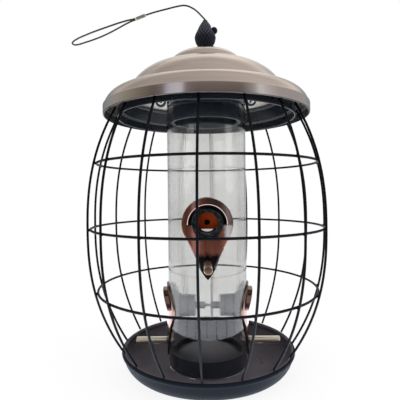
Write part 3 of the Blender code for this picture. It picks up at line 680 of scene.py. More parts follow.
def soften(profile, size, count=3, closed=True):
    """Rounds a profile's corners off over size, with count steps each."""
    barely_bent = math.radians(9)
    most_of_side = 0.42
    made = []
    last = len(profile)
    for i, point in enumerate(profile):
        here = Vector(point)
        before = Vector(profile[(i - 1) % last]) - here
        after = Vector(profile[(i + 1) % last]) - here
        kept = not closed and i in (0, last - 1)
        if kept or min(before.length, after.length) < tiny or before.angle(-after) < barely_bent:
            made.append(tuple(here))
            continue
        a = here + before.normalized() * min(size, before.length * most_of_side)
        b = here + after.normalized() * min(size, after.length * most_of_side)
        for t in even(0, 1, count + 1):
            made.append(tuple(a * (1 - t) ** 2 + here * 2 * t * (1 - t) + b * t**2))
    return made


def arc(centre, radius, start_degrees, end_degrees, count):
    angles = [math.radians(a) for a in even(start_degrees, end_degrees, count)]
    return [(centre[0] + radius * math.cos(a), centre[1] + radius * math.sin(a)) for a in angles]


def crowned(start, end, crown, count):
    """Points from start to end that bow by crown in the middle."""
    chord = Vector(end) - Vector(start)
    normal = Vector((-chord.y, chord.x)).normalized()
    if normal.y < 0:
        normal = -normal
    return [tuple(Vector(start) + chord * s + normal * crown * 4 * s * (1 - s)) for s in even(0, 1, count)]


def sheet_profile(outline, thickness):
    """A closed profile: the outline and the same line moved in by the sheet's thickness."""
    inner = []
    for i, point in enumerate(outline):
        before = Vector(outline[max(i - 1, 0)])
        after = Vector(outline[min(i + 1, len(outline) - 1)])
        way = (after - before).normalized()
        inner.append(tuple(Vector(point) - Vector((-way.y, way.x)) * thickness))
    return outline + list(reversed(inner))


def spline(points, count):
    """Evenly spaced points on a smooth curve through the given ones."""
    places = [Vector(p) for p in points]
    steps = 24
    dense = []
    for i, (a, b) in enumerate(zip(places, places[1:])):
        out_a = (b - places[max(i - 1, 0)]) / 2
        out_b = (places[min(i + 2, len(places) - 1)] - a) / 2
        for k in range(steps):
            t = k / steps
            dense.append(
                a * (2 * t**3 - 3 * t**2 + 1) + out_a * (t**3 - 2 * t**2 + t)
                + b * (3 * t**2 - 2 * t**3) + out_b * (t**3 - t**2)
            )
    dense.append(places[-1])
    reach = [0.0]
    for a, b in zip(dense, dense[1:]):
        reach.append(reach[-1] + (b - a).length)
    picked = []
    j = 0
    for goal in even(0.0, reach[-1], count):
        while j < len(reach) - 2 and reach[j + 1] < goal:
            j += 1
        length = reach[j + 1] - reach[j]
        picked.append(dense[j].lerp(dense[j + 1], (goal - reach[j]) / length if length else 0.0))
    return picked


def rope(name, points, radius):
    """A laid steel rope: a tube whose strands wind round its line."""
    strands = 6
    lay_length = 0.007
    groove_share = 0.16
    sides = 24
    rows = []
    way = (points[1] - points[0]).normalized()
    across = way.orthogonal().normalized()
    travelled = 0.0
    for i, point in enumerate(points):
        if i:
            travelled += (point - points[i - 1]).length
        new_way = (points[min(i + 1, len(points) - 1)] - points[max(i - 1, 0)]).normalized()
        across = way.rotation_difference(new_way) @ across
        way = new_way
        up = way.cross(across).normalized()
        twist = math.tau * travelled / lay_length
        row = []
        for angle in turns(sides):
            lobe = abs(math.sin(strands * (angle - twist) / 2))
            reach = radius * (1 - groove_share * (1 - lobe) ** 1.5)
            row.append(point + (across * math.cos(angle) + up * math.sin(angle)) * reach)
        rows.append(row)
    return grid_object(name, [[points[0]]] + rows + [[points[-1]]], sharp_degrees=50)


def wire_curve(name, points, radius):
    curve = bpy.data.curves.new(name, "CURVE")
    curve.dimensions = "3D"
    curve.bevel_depth = radius
    curve.bevel_resolution = 4
    curve.use_fill_caps = True
    line = curve.splines.new("POLY")
    line.points.add(len(points) - 1)
    for point, place in zip(line.points, points):
        point.co = (*place, 1.0)
    line.use_smooth = True
    return add_object(name, curve)


def drum(name, radius, start, end, sides):
    """A plain cylinder between two points, for cutting."""
    a = Vector(start)
    b = Vector(end)
    bpy.ops.mesh.primitive_cylinder_add(vertices=sides, radius=radius, depth=(b - a).length)
    obj = bpy.context.object
    obj.name = name
    obj.rotation_mode = "QUATERNION"
    obj.rotation_quaternion = (b - a).to_track_quat("Z", "X")
    obj.location = (a + b) / 2
    return obj


def block(name, low, high, place=Matrix.Identity(4)):
    """A plain box between two corners, for cutting, moved to a place."""
    bpy.ops.mesh.primitive_cube_add(size=1)
    obj = bpy.context.object
    obj.name = name
    size = [h - l for l, h in zip(low, high)]
    middle = [(h + l) / 2 for l, h in zip(low, high)]
    obj.data.transform(Matrix.Translation(middle) @ Matrix.Diagonal((*size, 1)))
    obj.matrix_world = place
    return obj


def cut(obj, cutters, sharp_degrees=crisp):
    """Cuts away each cutter's form, and removes the cutters."""
    for cutter in cutters:
        step = obj.modifiers.new("cut", "BOOLEAN")
        step.operation = "DIFFERENCE"
        step.solver = "EXACT"
        step.object = cutter
    bpy.context.view_layer.update()
    graph = bpy.context.evaluated_depsgraph_get()
    made = bpy.data.meshes.new_from_object(obj.evaluated_get(graph))
    obj.modifiers.clear()
    obj.data = made
    for cutter in cutters:
        bpy.data.objects.remove(cutter, do_unlink=True)
    shade(made, sharp_degrees)
    return obj


def join(name, pieces):
    """Joins several meshes into one piece."""
    bpy.context.view_layer.update()
    tool = bmesh.new()
    for piece in pieces:
        copy = piece.data.copy()
        copy.transform(piece.matrix_world)
        tool.from_mesh(copy)
        bpy.data.meshes.remove(copy)
        bpy.data.objects.remove(piece, do_unlink=True)
    mesh = bpy.data.meshes.new(name)
    tool.to_mesh(mesh)
    tool.free()
    shade(mesh, crisp)
    return add_object(name, mesh)


def store(obj, **layers):
    """Stores numbers at each of a mesh's points, for its material."""
    for name, values in layers.items():
        obj.data.attributes.new(name, "FLOAT", "POINT").data.foreach_set("value", values)


def outwards(angle, height):
    """Takes +X to the way that a port faces, at a height."""
    return Matrix.Translation((0, 0, height)) @ Matrix.Rotation(angle - quarter, 4, "Z")


def along_x():
    return Matrix.Rotation(quarter, 4, "Y")


def dress(obj, surface, body, slot, *nodes):
    """Gives a piece its material and its body and hides the CAD nodes that it stands for; slot is not used.
    """
    obj.data.materials.clear()
    obj.data.materials.append(surface)
    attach(obj, body)
    if nodes:
        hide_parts(*nodes)
    return obj


# Cable: the free stretch, its ferrule and its loop, and the stretch inside the lid and the lock

def make_cables():
    free = spline(cable_route, 150)
    stretch = rope("cable_free", free, cable_radius)
    dress(stretch, cable_metal, "lock", "cable_steel", "hanger_cable")
    bight = spline(loop_route, 300)
    loop = rope("cable_loop", bight, cable_radius)
    dress(loop, cable_metal, "lock", "cable_steel", "hanger_loop")
    ferrule = make_ferrule()
    split_z = (lid_top + lock_bottom) / 2
    held = (
        ("cable_in_lid", "frame", "lid", crimp_top + gap, split_z, split_z),
        ("cable_in_lock", "lid", "lock", split_z, lock_top - gap, lock_bottom + cable_radius * 4),
    )
    for name, below, above, start, end, blend_end in held:
        line = [Vector((0, 0, z)) for z in even(start, end, 60)]
        piece = rope(name, line, cable_radius)
        piece.data.materials.append(cable_metal)
        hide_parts("cable_core")
        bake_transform(piece)


def make_ferrule():
    """A crimped oval sleeve with three pressed dents."""
    tall = 0.72
    dents = 3
    dent_depth = 0.13
    dented = (0.12, 0.88)
    end_share = 0.82
    end_length = 0.0004
    way = ferrule_end - ferrule_start
    length = way.length
    way.normalize()
    across = Vector((0, 1, 0))
    up = way.cross(across).normalized()
    rows = []
    for share in even(0, 1, 60):
        end = min(share, 1 - share) * length
        round_off = min(1.0, end_share + end / end_length * (1 - end_share))
        press = max(0.0, math.cos(math.tau * (share * dents - 0.5))) ** 2
        if not dented[0] < share < dented[1]:
            press = 0.0
        row = []
        for angle in turns(32):
            side = ferrule_radius * math.cos(angle) * round_off
            rise = ferrule_radius * tall * math.sin(angle) * round_off * (1 - dent_depth * press)
            row.append(ferrule_start + way * (share * length) + across * side + up * rise)
        rows.append(row)
    ferrule = grid_object("crimped_ferrule", [[ferrule_start]] + rows + [[ferrule_end]], sharp_degrees=60)
    return dress(ferrule, ferrule_metal, "lock", "ferrule_metal", "hanger_ferrule")


# Lid and its bush

def cap_point(degrees):
    angle = math.radians(degrees)
    return (cap_base_radius * math.cos(angle), cap_base_z + cap_crown * math.sin(angle))


def make_lid():
    steps = 180
    brim_shadow = 0.85
    cap_foot_degrees = 4
    hole_edge = math.degrees(math.acos(lid_hole_radius / cap_base_radius))
    cap = [cap_point(a) for a in even(hole_edge, cap_foot_degrees, 27)]
    middle_edge = (shoulder_radius - shoulder_inset, shoulder_z + shoulder_riser)
    middle = crowned(middle_edge, (neck_radius, neck_z), neck_crown, 26)
    outer_edge = (lid_radius - lid_band_lip, lid_band_top + lid_band_lip / 2)
    outer = crowned(outer_edge, (shoulder_radius, shoulder_z), shoulder_crown, 20)
    band = [
        (lid_radius, lid_band_top), (lid_radius, lid_rim_z + lid_sheet),
        (lid_radius - lid_sheet / 2, lid_rim_z), (lid_radius - lid_hem, lid_rim_z),
    ]
    outline = soften(cap + middle[::-1] + outer[::-1] + band, 0.0009, 4, closed=False)
    lid = lathe("lid_dome", sheet_profile(outline, lid_sheet), steps, sharp_degrees=40)
    hem_z = lid_rim_z + lid_sheet * 0.6
    inside = []
    hem = []
    for i, v in enumerate(lid.data.vertices):
        inner = i >= len(outline) * steps
        under_brim = inner and math.hypot(v.co.x, v.co.y) > ring_skirt
        inside.append(1.0 if inner else 0.0)
        # painted shade: full at the hem, brim_shadow's share of it inside under the brim
        hem.append(1.0 if v.co.z < hem_z else brim_shadow if under_brim else 0.0)
    store(lid, inside=inside, hem=hem)
    dress(lid, lid_metal, "lid", "champagne_metal", "lid_shell")


def make_bush():
    neck = lid_hole_radius - gap
    above = lid_top + gap
    hole_z = cap_base_z + cap_crown * math.sqrt(1 - (lid_hole_radius / cap_base_radius) ** 2)
    below = hole_z - lid_sheet - gap * 2
    lower = neck + grommet_flange_height
    profile = [
        (cable_bore, grommet_top), (grommet_flange_radius, grommet_top), (grommet_flange_radius, above),
        (neck, above), (neck, below), (lower, below),
        (lower, below - grommet_flange_height), (cable_bore, below - grommet_flange_height),
    ]
    bush = lathe("lid_bush", soften(profile, 0.0004), 48)
    dress(bush, lock_plastic, "lid", "black_plastic", "lid_grommet")


# Cord lock and its button

def make_lock():
    """A black pear with a diamond net of thin raised lines, bored for the cable and the button."""
    sides = 192
    lines_round = 18
    slope = 6
    sharpness = 9
    depth = 0.00035
    foot_fade = 0.10
    top_fade = 0.12
    faint = 0.25
    pale_from = 0.35
    pale_over = 0.35
    rows = []
    lines = []
    for point in spline([(r, 0, h) for r, h in reversed(lock_outline_shares)], 132):
        share = point.z
        fade = clamp(min(share / foot_fade, (1 - share) / top_fade))
        # painted highlight: the net's raised lines are painted paler, fading towards the foot where less
        # light falls
        wear = faint + (1 - faint) * clamp((share - pale_from) / pale_over)
        height = lock_bottom + (lock_top - lock_bottom) * share
        row = []
        for k in range(sides):
            turn = k / sides
            places = [(turn * lines_round + way * share * slope) % 1.0 for way in (1, -1)]
            line = max(1 - abs(place - 0.5) * sharpness for place in places)
            line = max(line, 0.0) * fade
            reach = lock_radius * point.x - depth * (1 - line) * fade - clear_of_box
            angle = math.tau * turn
            row.append((reach * math.cos(angle), reach * math.sin(angle), height))
            lines.append(line * wear)
        rows.append(row)
    ends = [circle(cable_bore, z, sides) for z in (lock_bottom, lock_top)]
    lock = grid_object("cord_lock_body", [ends[0]] + rows + [ends[1]], wrap_rows=True, sharp_degrees=40)
    store(lock, line=[0.0] * sides + lines + [0.0] * sides)
    far = lock_radius + overrun
    ball_deep = button_x - button_ball_radius - button_travel - gap
    cut(lock, [
        drum("ball_bore", button_ball_radius + gap, (ball_deep, 0, button_z), (far, 0, button_z), 40),
        drum("stem_bore", button_stem_radius + gap, (0, 0, button_z), (far, 0, button_z), 32),
    ], sharp_degrees=42)
    dress(lock, lock_plastic, "lock", "black_plastic", "cord_lock")


def make_button():
    """The ball-ended release button with a forked stem."""
    neck = button_x - button_ball_radius * 0.9
    ball = arc((0.0, button_x), button_ball_radius, 90, -65, 22)
    stem = [(button_stem_radius, neck), (button_stem_radius, -button_fork_tip), (0.0, -button_fork_tip)]
    button = solid("release_button", [(max(r, 0.0), x) for r, x in ball] + stem, 0.0003, 3, 40)
    button.data.transform(Matrix.Translation((0, 0, button_z)) @ along_x())
    half = button_fork_gap / 2
    low = (-overrun, -half, button_z - overrun)
    cut(button, [block("fork_gap", low, (button_fork_root, half, button_z + overrun))])
    dress(button, lock_plastic, "button", "black_plastic", "lock_button")


# Tray and its screw

def tray_wall(shift):
    width = tray_radius - tray_bead_radius * 0.7 - tray_floor_radius
    rise = tray_height - tray_bead_radius * 2
    return [(tray_floor_radius + width * a - shift, rise * u + shift) for a, u in tray_wall_shares]


def make_tray():
    centre = (tray_radius - tray_bead_radius, tray_height - tray_bead_radius)
    recess = tray_recess_radius
    recess_floor = tray_recess_depth + tray_sheet
    profile = arc(centre, tray_bead_radius, 205, -52, 18) + tray_wall(0.0)
    profile += [
        (recess, 0.0), (recess - tray_recess_slope, tray_recess_depth), (screw_bore, tray_recess_depth),
        (screw_bore, recess_floor), (recess - tray_recess_slope + tray_sheet / 2, recess_floor),
        (recess + tray_sheet / 2, tray_sheet),
    ]
    profile += tray_wall(tray_sheet)[::-1]
    tray = lathe("catch_tray", soften(profile, 0.0008), 160, sharp_degrees=45)
    holes = []
    for side in (-1, 1):
        for row in (-1, 0, 1):
            angle = side * drain_angle + row * drain_spacing / drain_circle_radius
            x = drain_circle_radius * math.sin(angle)
            y = -drain_circle_radius * math.cos(angle)
            holes.append(drum("drain", drain_hole_radius, (x, y, -overrun), (x, y, tray_sheet + overrun), 20))
    cut(tray, holes, sharp_degrees=45)
    inner_line = sorted(tray_wall(tray_sheet))
    outer = []
    for v in tray.data.vertices:
        reach = math.hypot(v.co.x, v.co.y)
        inner_z = np.interp(reach, [r for r, _ in inner_line], [z for _, z in inner_line])
        outer.append(1.0 if v.co.z < inner_z - gap or reach > centre[0] + gap else 0.0)
    store(tray, outer=outer)
    dress(tray, tray_coat, "frame", "tray_coat", "seed_tray")


def make_tray_screw():
    head_top = tray_recess_depth - gap
    head_low = head_top - tray_head_height
    tip = tray_recess_depth + tray_sheet + thread_depth
    profile = [
        (0.0, tip), (screw_radius, tip - screw_radius / 2), (screw_radius, head_top),
        (tray_head_radius, head_top), (tray_head_radius, head_low + 0.0008),
        (tray_head_radius * 0.8, head_low), (0.0, head_low),
    ]
    screw = solid("tray_fixing_screw", profile, 0.0002, 3, 32)
    cross_recess(screw, (0, 0, head_low), (0, 0, 1))
    dress(screw, screw_metal, "frame", "screw_steel", "tray_screw")


def cross_recess(screw, centre, inward):
    """Cuts a cross slot into a screw's head, whose outer face is at centre."""
    depth = 0.0011
    half = 0.00024
    arm = 0.0016
    place = Matrix.Translation(centre) @ Vector(inward).to_track_quat("Z", "X").to_matrix().to_4x4()
    cut(screw, [
        block("cross", (-a, -b, -depth), (a, b, depth), place) for a, b in ((arm, half), (half, arm))
    ])


# Tube, seat and collar

def make_tube():
    outer = [(tube_radius - clear_of_box, z) for z in even(tube_top, tube_bottom, 65)]
    inner = [(tube_bore, z) for _, z in reversed(outer)]
    tube = lathe("clear_tube", outer + inner, 144)
    near = Vector((tube_bore - overrun, 0, 0))
    far = Vector((tube_radius + overrun, 0, 0))
    cutters = []
    for _, angle, height in ports:
        for radius, z, sides in ((port_hole_radius, height, 64), (screw_bore, height - perch_drop, 16)):
            way = outwards(angle, z)
            cutters.append(drum("hole", radius, way @ near, way @ far, sides))
    cut(tube, cutters, sharp_degrees=30)
    dress(tube, clear_plastic, "frame", "clear_plastic", "seed_tube")


def make_seat():
    outer = liner_radius - seat_foot_width
    inner = outer - seat_wall
    foot = tube_bottom + seat_foot_height
    under_shares = (0.97, 0.86, 0.72, 0.56, 0.4)
    boss_bottom = tray_recess_depth + tray_sheet + gap
    bore_top = boss_bottom + thread_depth + gap

    def dome(share, drop=0.0):
        return (inner * share, diverter_edge - drop + diverter_crown * (1 - share**2))

    under = [dome(share, diverter_shell) for share in under_shares]
    profile = [dome(share) for share in even(0, 1, 17)]
    profile += [
        (inner, seat_top), (outer, seat_top), (outer, foot), (liner_radius, foot),
        (liner_radius, tube_bottom), (inner, tube_bottom), (inner, under[0][1]), *under,
        (seat_boss_radius, diverter_edge + diverter_crown - diverter_shell * 1.6),
        (seat_boss_radius, boss_bottom), (screw_bore, boss_bottom), (screw_bore, bore_top), (0.0, bore_top),
    ]
    profile = soften(profile, 0.0005, closed=False)
    seat = lathe("seed_diverter_seat", profile, 128, closed=False, sharp_degrees=40)
    # painted light: the diverter dome is painted lighter towards its crown
    line = []
    for v in seat.data.vertices:
        rise = max(0.0, (v.co.z - diverter_edge) / diverter_crown)
        line.append(rise**1.3 if math.hypot(v.co.x, v.co.y) < inner - tiny else 0.0)
    store(seat, line=line)
    dress(seat, seat_plastic, "frame", "black_plastic", "base_seat")


def make_collar():
    inner = liner_radius - collar_step - collar_wall
    lower = liner_radius - collar_step
    flange = tube_radius + 0.001
    under = tube_top + gap
    ledge = tube_top - collar_ledge_drop
    bottom = tube_top - collar_depth
    profile = [
        (inner, collar_top), (flange, collar_top), (flange, under), (liner_radius, under),
        (liner_radius, ledge), (lower, ledge - gap), (lower, bottom), (inner, bottom),
    ]
    pieces = [lathe("collar_body", soften(profile, 0.0006, 4), 144)]
    half = ear_thickness / 2
    neck_half = half * 0.9
    neck_low = ear_z + ear_radius * 0.62
    for side in (-1, 1):
        ring = [(ear_hole_radius, -half), (ear_radius, -half), (ear_radius, half), (ear_hole_radius, half)]
        ear = lathe("ear", soften(ring, 0.0005), 40)
        ear.matrix_world = Matrix.Translation((side * ear_x, 0, ear_z)) @ Matrix.Rotation(quarter, 4, "X")
        near, far = sorted((side * ear_neck_x, side * (ear_neck_x + ear_neck_length)))
        neck = block("neck", (near, -neck_half, neck_low), (far, neck_half, collar_top - gap))
        edge = neck.modifiers.new("edge", "BEVEL")
        edge.width = 0.0004
        edge.segments = 2
        cut(neck, [])
        pieces += [ear, neck]
    dress(join("mouth_collar", pieces), collar_plastic, "frame", "black_plastic", "tube_collar")


def make_bail():
    """The wire arch over the tube's mouth, hooked into the ears."""
    side = ear_thickness / 2 + bail_radius + gap
    corner = bail_radius * 1.2
    base = collar_top + bail_radius * 2
    squareness = 0.92
    right = [
        (ear_x, side + bail_end, ear_z), (ear_x, 0.0, ear_z), (ear_x, -side + corner, ear_z),
        (ear_x, -side + corner * 0.3, ear_z + corner * 0.3), (ear_x, -side, ear_z + corner),
        (ear_x, -side, base),
    ]
    sweep = []
    for degrees in range(9, 91, 9):
        angle = math.radians(degrees)
        z = base + (bail_top - base) * math.sin(angle)
        sweep.append((ear_x * math.cos(angle) ** squareness, -side * math.cos(angle), z))
    left = [(-x, -y, z) for x, y, z in reversed(right + sweep[:-1])]
    bail = wire_curve("mouth_bail", spline(right + sweep + left, 120), bail_radius)
    dress(bail, black_coat, "frame", "black_coat", "bail_wire")


def make_crimp():
    """The crimped sleeve and the eye that tie the cable to the bail's crown."""
    flare = 0.0018
    waist = 0.0024
    profile = [
        (0.0, crimp_top), (crimp_radius, crimp_top), (crimp_radius * 0.98, crimp_top - flare),
        (crimp_radius * 0.84, crimp_top - waist), (crimp_radius * 0.84, crimp_bottom + waist),
        (crimp_radius * 0.98, crimp_bottom + flare), (crimp_radius, crimp_bottom), (0.0, crimp_bottom),
    ]
    sleeve = solid("crimp_sleeve", profile, 0.0004, 3, 32)
    eye = bail_radius + gap + eye_wire_radius
    ring = lathe("crimp_eye", arc((eye, 0.0), eye_wire_radius, 0, 337.5, 16), 40)
    ring.matrix_world = Matrix.Translation((0, 0, bail_top)) @ along_x()
    crimp = join("cable_eye_crimp", [sleeve, ring])
    dress(crimp, ferrule_metal, "frame", "ferrule_metal", "cable_crimp")


# Ports

def plate_reach(angle):
    """How far the drop-shaped plate reaches from the port's centre, at an angle from +Y towards +Z."""
    way = Vector((abs(math.cos(angle)), math.sin(angle)))
    for a, b in zip(plate_side, plate_side[1:]):
        start = Vector(a)
        side = Vector(b) - start
        across = way.x * side.y - way.y * side.x
        share = (start.x * way.y - start.y * way.x) / across
        if way.y < 0 and -tiny < share < 1 + tiny:
            return (start + side * share).length
    return plate_radius


def plate_x(across, lift):
    """The distance from the tube's axis of the plate's surface, lift above its inner side."""
    return math.sqrt((plate_inner + lift) ** 2 - across**2)


def hood_angles():
    """Directions round the port, doubled at the visor's two ends and with one at the tip."""
    small = math.radians(0.35)
    ends = [-visor_end - small, -visor_end, math.pi + visor_end, math.pi + visor_end + small]
    clear = math.radians(1.2)
    even_turns = [a - quarter for a in turns(132)]
    return sorted([a for a in even_turns if min(abs(a - e) for e in ends) > clear] + ends)


def hood_section(angle, visor):
    """The closed section of plate and visor at one direction, as (distance, x) pairs."""
    edge = 0.00035
    reach = plate_reach(angle)
    turn = math.cos(angle)
    rise = math.sin(angle)
    lean = math.tan(visor_lean)

    def on_plate(distance, lift=plate_thickness):
        return (distance, plate_x(distance * turn, lift))

    def on_lip(distance, drop=0.0):
        return (distance, plate_outer + visor_reach - lean * (visor_radius - distance * rise) - drop)

    points = [on_plate(port_opening_radius, 0.0), on_plate(port_opening_radius, plate_thickness - edge)]
    points += [on_plate(port_opening_radius + edge), on_plate((port_opening_radius + visor_throat) / 2)]
    if visor:
        points += [on_plate(visor_throat), on_lip(visor_throat, edge), on_lip(visor_throat + edge)]
        points += [on_lip(visor_radius - edge), on_lip(visor_radius, edge), on_plate(visor_radius)]
    else:
        points += [on_plate(visor_throat + visor_width * k / 5) for k in range(6)]
    points += [on_plate(visor_radius + (reach - edge - visor_radius) * k / 6) for k in range(1, 7)]
    points += [on_plate(reach, plate_thickness - edge), on_plate(reach, 0.0), on_plate(spigot_radius, 0.0)]
    return points + [(spigot_radius, spigot_inner_x), (port_opening_radius, spigot_inner_x)]


def hood_wear(place, y, z, distance, mark):
    """How dark, bronzed and light the hood is painted at y and z from the port's centre: darker towards the
    tip, painted shade in the visor's throat, painted highlights on the lip, the rim and a patch, and bronze
    that is partly painted reflection.
    """
    foot_drop = 0.0250
    foot_fade = 0.0035
    foot_black = 1.3
    bronze_drop = 0.009
    bronze_fade = 0.010
    bright_side = 0.35
    lower_bronze = 0.8
    rubbed_side = 0.015
    rubbed_heights = (-0.013, -0.001)
    rim_heights = (-0.040, -0.010)
    # painted shade: black inside the visor's throat and on the lip's inner half
    throat = (distance < visor_throat + tiny or mark == "inner lip") and z > -visor_leg_drop * 2
    # darker towards the plate's tip
    foot = min(foot_black, max(0.0, (-z - foot_drop) / foot_fade))
    rise = clamp((z + bronze_drop) / bronze_fade)
    # bronze, partly a painted reflection: more towards the top, less on the upper ports' -y side
    # (bright_side), and most on the lower ports
    if "lower" in place:
        bronze = max(rise, lower_bronze)
    else:
        bronze = rise * (bright_side if y < 0 else 1.0)
    # painted highlights: a light patch on the upper ports' +y side, the visor's outer lip, and the plate's
    # rim at its sides
    if "upper" in place and y > rubbed_side and rubbed_heights[0] < z < rubbed_heights[1]:
        edge = 0.9
    elif mark == "outer lip":
        edge = 0.6
    elif mark == "rim" and rim_heights[0] < z < rim_heights[1]:
        edge = 0.5
    else:
        edge = 0.0
    return max(foot, 1.0 if throat else 0.0), bronze, edge


def make_hood(place, angle, height):
    # by their places in hood_section's list
    lip_marks = {6: "inner lip", 7: "outer lip"}
    rim_marks = {15: "rim", 16: "rim"}
    way = outwards(angle, height)
    rows = []
    wear = []
    for turn in hood_angles():
        visor = -visor_end - tiny <= turn <= math.pi + visor_end + tiny
        marks = {**rim_marks, **lip_marks} if visor else rim_marks
        row = []
        for i, (distance, x) in enumerate(hood_section(turn, visor)):
            y = distance * math.cos(turn)
            z = distance * math.sin(turn)
            row.append(way @ Vector((x, y, z)))
            wear.append(hood_wear(place, y, z, distance, marks.get(i)))
        rows.append(row)
    hood = grid_object("hood_" + place, rows, wrap_rows=True, sharp_degrees=38)
    # the dark marks hold the darker tip and the painted shade in the throat, the edge marks are painted
    # highlights, and the bronze is partly painted reflection
    patina, bronze, edge = zip(*wear)
    store(hood, patina=patina, bronze=bronze, edge=edge)
    dress(hood, hood_copper, "frame", "antique_copper", "port_hood_" + place)


def clip_flare(line, turn, count):
    """The part of a (radius, x) line inside the liner, in one direction round the port."""
    def inside(point):
        across = point[0] * math.cos(turn)
        return point[1] <= math.sqrt(max(liner_radius**2 - across**2, 0.0))

    kept = [line[-1]]
    for point in reversed(line[:-1]):
        if inside(point):
            kept.append(point)
            continue
        a = Vector(kept[-1])
        b = Vector(point)
        for _ in range(18):
            middle = (a + b) / 2
            if inside(middle):
                a = middle
            else:
                b = middle
        kept.append(tuple(a))
        break
    return [(p.x, p.y) for p in spline([(r, x, 0) for r, x in reversed(kept)], count)]


def around_port(way, section, turn):
    """A (radius, x) section in one direction round the port's axis."""
    return [way @ Vector((x, r * math.cos(turn), r * math.sin(turn))) for r, x in section]


def make_sleeve(place, angle, height):
    """The plastic sleeve: its flared mouth, its cup and the stub for the tie screw."""
    count = 12
    inner_end = cup_end_radius - cup_wall
    pale_end = inner_end - 0.0006
    mouth_rim = (cup_mouth_radius, tube_bore + overrun)
    outer_line = crowned(mouth_rim, (cup_radius, cup_flare_x), -cup_wall, 24)
    inner_line = [(r - cup_wall, x) for r, x in outer_line]
    way = outwards(angle, height)
    body = [
        (cup_end_radius, cup_back_x), (stub_radius, cup_back_x), (stub_radius, stub_end_x),
        (screw_bore, stub_end_x), (screw_bore, cup_floor), (pale_end, cup_floor), (inner_end, cup_floor),
        (cup_radius - cup_wall, cup_flare_x),
    ]
    rows = []
    funnel = []
    pale = []
    for turn in turns(72):
        outside = clip_flare(outer_line, turn, count)
        outside += soften([outside[-1]] + body, 0.0004, closed=False)[1:-1]
        section = outside + clip_flare(inner_line, turn, count)[::-1]
        rows.append(around_port(way, section, turn))
        for k, (r, x) in enumerate(section):
            cup = k >= count and x > cup_floor - tiny and r > pale_end + tiny
            funnel.append(1.0 if k >= len(outside) or cup else 0.0)
            # painted glow: marks the crescent of the cup's floor
            pale.append(1.0 if r < pale_end + tiny and abs(x - cup_floor) < tiny else 0.0)
    sleeve = grid_object("sleeve_" + place, rows, wrap_rows=True, sharp_degrees=40)
    store(sleeve, funnel=funnel, pale=pale)
    cut(sleeve, [seed_slot(way)], sharp_degrees=40)
    # painted shade: the cup's lower inner wall, which is also made duller
    dull = []
    for v in sleeve.data.vertices:
        x, _, z = way.inverted() @ v.co
        dull.append(1.0 if z < -cup_end_radius / 2 and cup_floor + tiny < x < cup_flare_x + tiny else 0.0)
    store(sleeve, dull=dull)
    dress(sleeve, sleeve_plastic, "frame", "grey_plastic", "port_sleeve_" + place)


def make_lining(place, angle, height):
    """The cup's thin copper lining, cut away over the crescent painted to glow and over the lower wall."""
    wall = 0.0001
    floor = cup_floor + wall / 2
    mouth = cup_flare_x - wall
    start = cup_radius - cup_wall - wall / 2
    end = cup_end_radius - cup_wall - wall / 2
    way = outwards(angle, height)
    line = list(zip(even(start, end, 9), even(mouth, floor, 9)))
    line += [(r, floor) for r in even(end, screw_bore, 11)[1:]]
    back = [(r - wall, x) if x > floor else (max(r, screw_bore), x + wall) for r, x in reversed(line)]
    section = line + back
    rows = []
    bronze = []
    for turn in turns(64):
        rows.append(around_port(way, section, turn))
        # more bronze towards the port's -y side
        bronze += [clamp(0.5 - r * math.cos(turn) / start * 0.5) for r, x in section]
    lining = grid_object("cup_lining_" + place, rows, wrap_rows=True)
    store(lining, bronze=bronze)
    foot_end = floor + wall * 3
    foot = block(
        "crescent", (cup_back_x, -crescent_half_width, -cup_radius),
        (foot_end, crescent_half_width, -end + crescent_height), way,
    )
    high = (cup_flare_x, cup_radius, -end * 0.45)
    side = block("lower_wall", (foot_end, -cup_radius, -cup_radius), high, way)
    cut(lining, [seed_slot(way), foot, side])
    dress(lining, cup_copper, "frame", "antique_copper")


def seed_slot(way):
    start = cup_back_x + cup_back_wall * 2
    half = seed_slot_width / 2
    low = (start, -half, -cup_radius - overrun)
    return block("slot", low, (start + seed_slot_length, half, -cup_radius / 2), way)


def make_perch(place, angle, height):
    start = plate_outer + gap
    end = start + perch_length
    bore_end = start + thread_depth + gap
    profile = [
        (0.0, end), (perch_radius, end), (perch_radius, start), (screw_bore, start),
        (screw_bore, bore_end), (0.0, bore_end),
    ]
    perch = solid("perch_rod_" + place, profile, 0.0007, 4, 48)
    way = outwards(angle, height - perch_drop)
    store(perch, patina=[1.0 if v.co.z > end - gap / 2 else 0.0 for v in perch.data.vertices])
    perch.data.transform(way @ along_x())
    dress(perch, perch_metal, "frame", "perch_brass", "perch_" + place)


def make_screw(name, node_name, way, tip, seat, head_radius, head_end):
    """A pan-headed screw along a port's axis; its head runs from seat to head_end."""
    facing = 1 if head_end > seat else -1
    crown = head_end - facing * abs(head_end - seat) * 0.35
    profile = [
        (0.0, tip), (screw_radius, tip + facing * screw_radius / 2), (screw_radius, seat),
        (head_radius, seat), (head_radius, crown), (head_radius * 0.72, head_end), (0.0, head_end),
    ]
    screw = solid(name, profile, 0.0004, 3, 32)
    screw.data.transform(way @ along_x())
    ahead = way.to_3x3() @ Vector((1, 0, 0))
    cross_recess(screw, way @ Vector((head_end, 0, 0)), -facing * ahead)
    black = [facing > 0 and ahead.dot(v.co) > seat - gap for v in screw.data.vertices]
    store(screw, patina=[1.0 if marked else 0.0 for marked in black])
    dress(screw, screw_metal, "frame", "screw_steel", node_name)


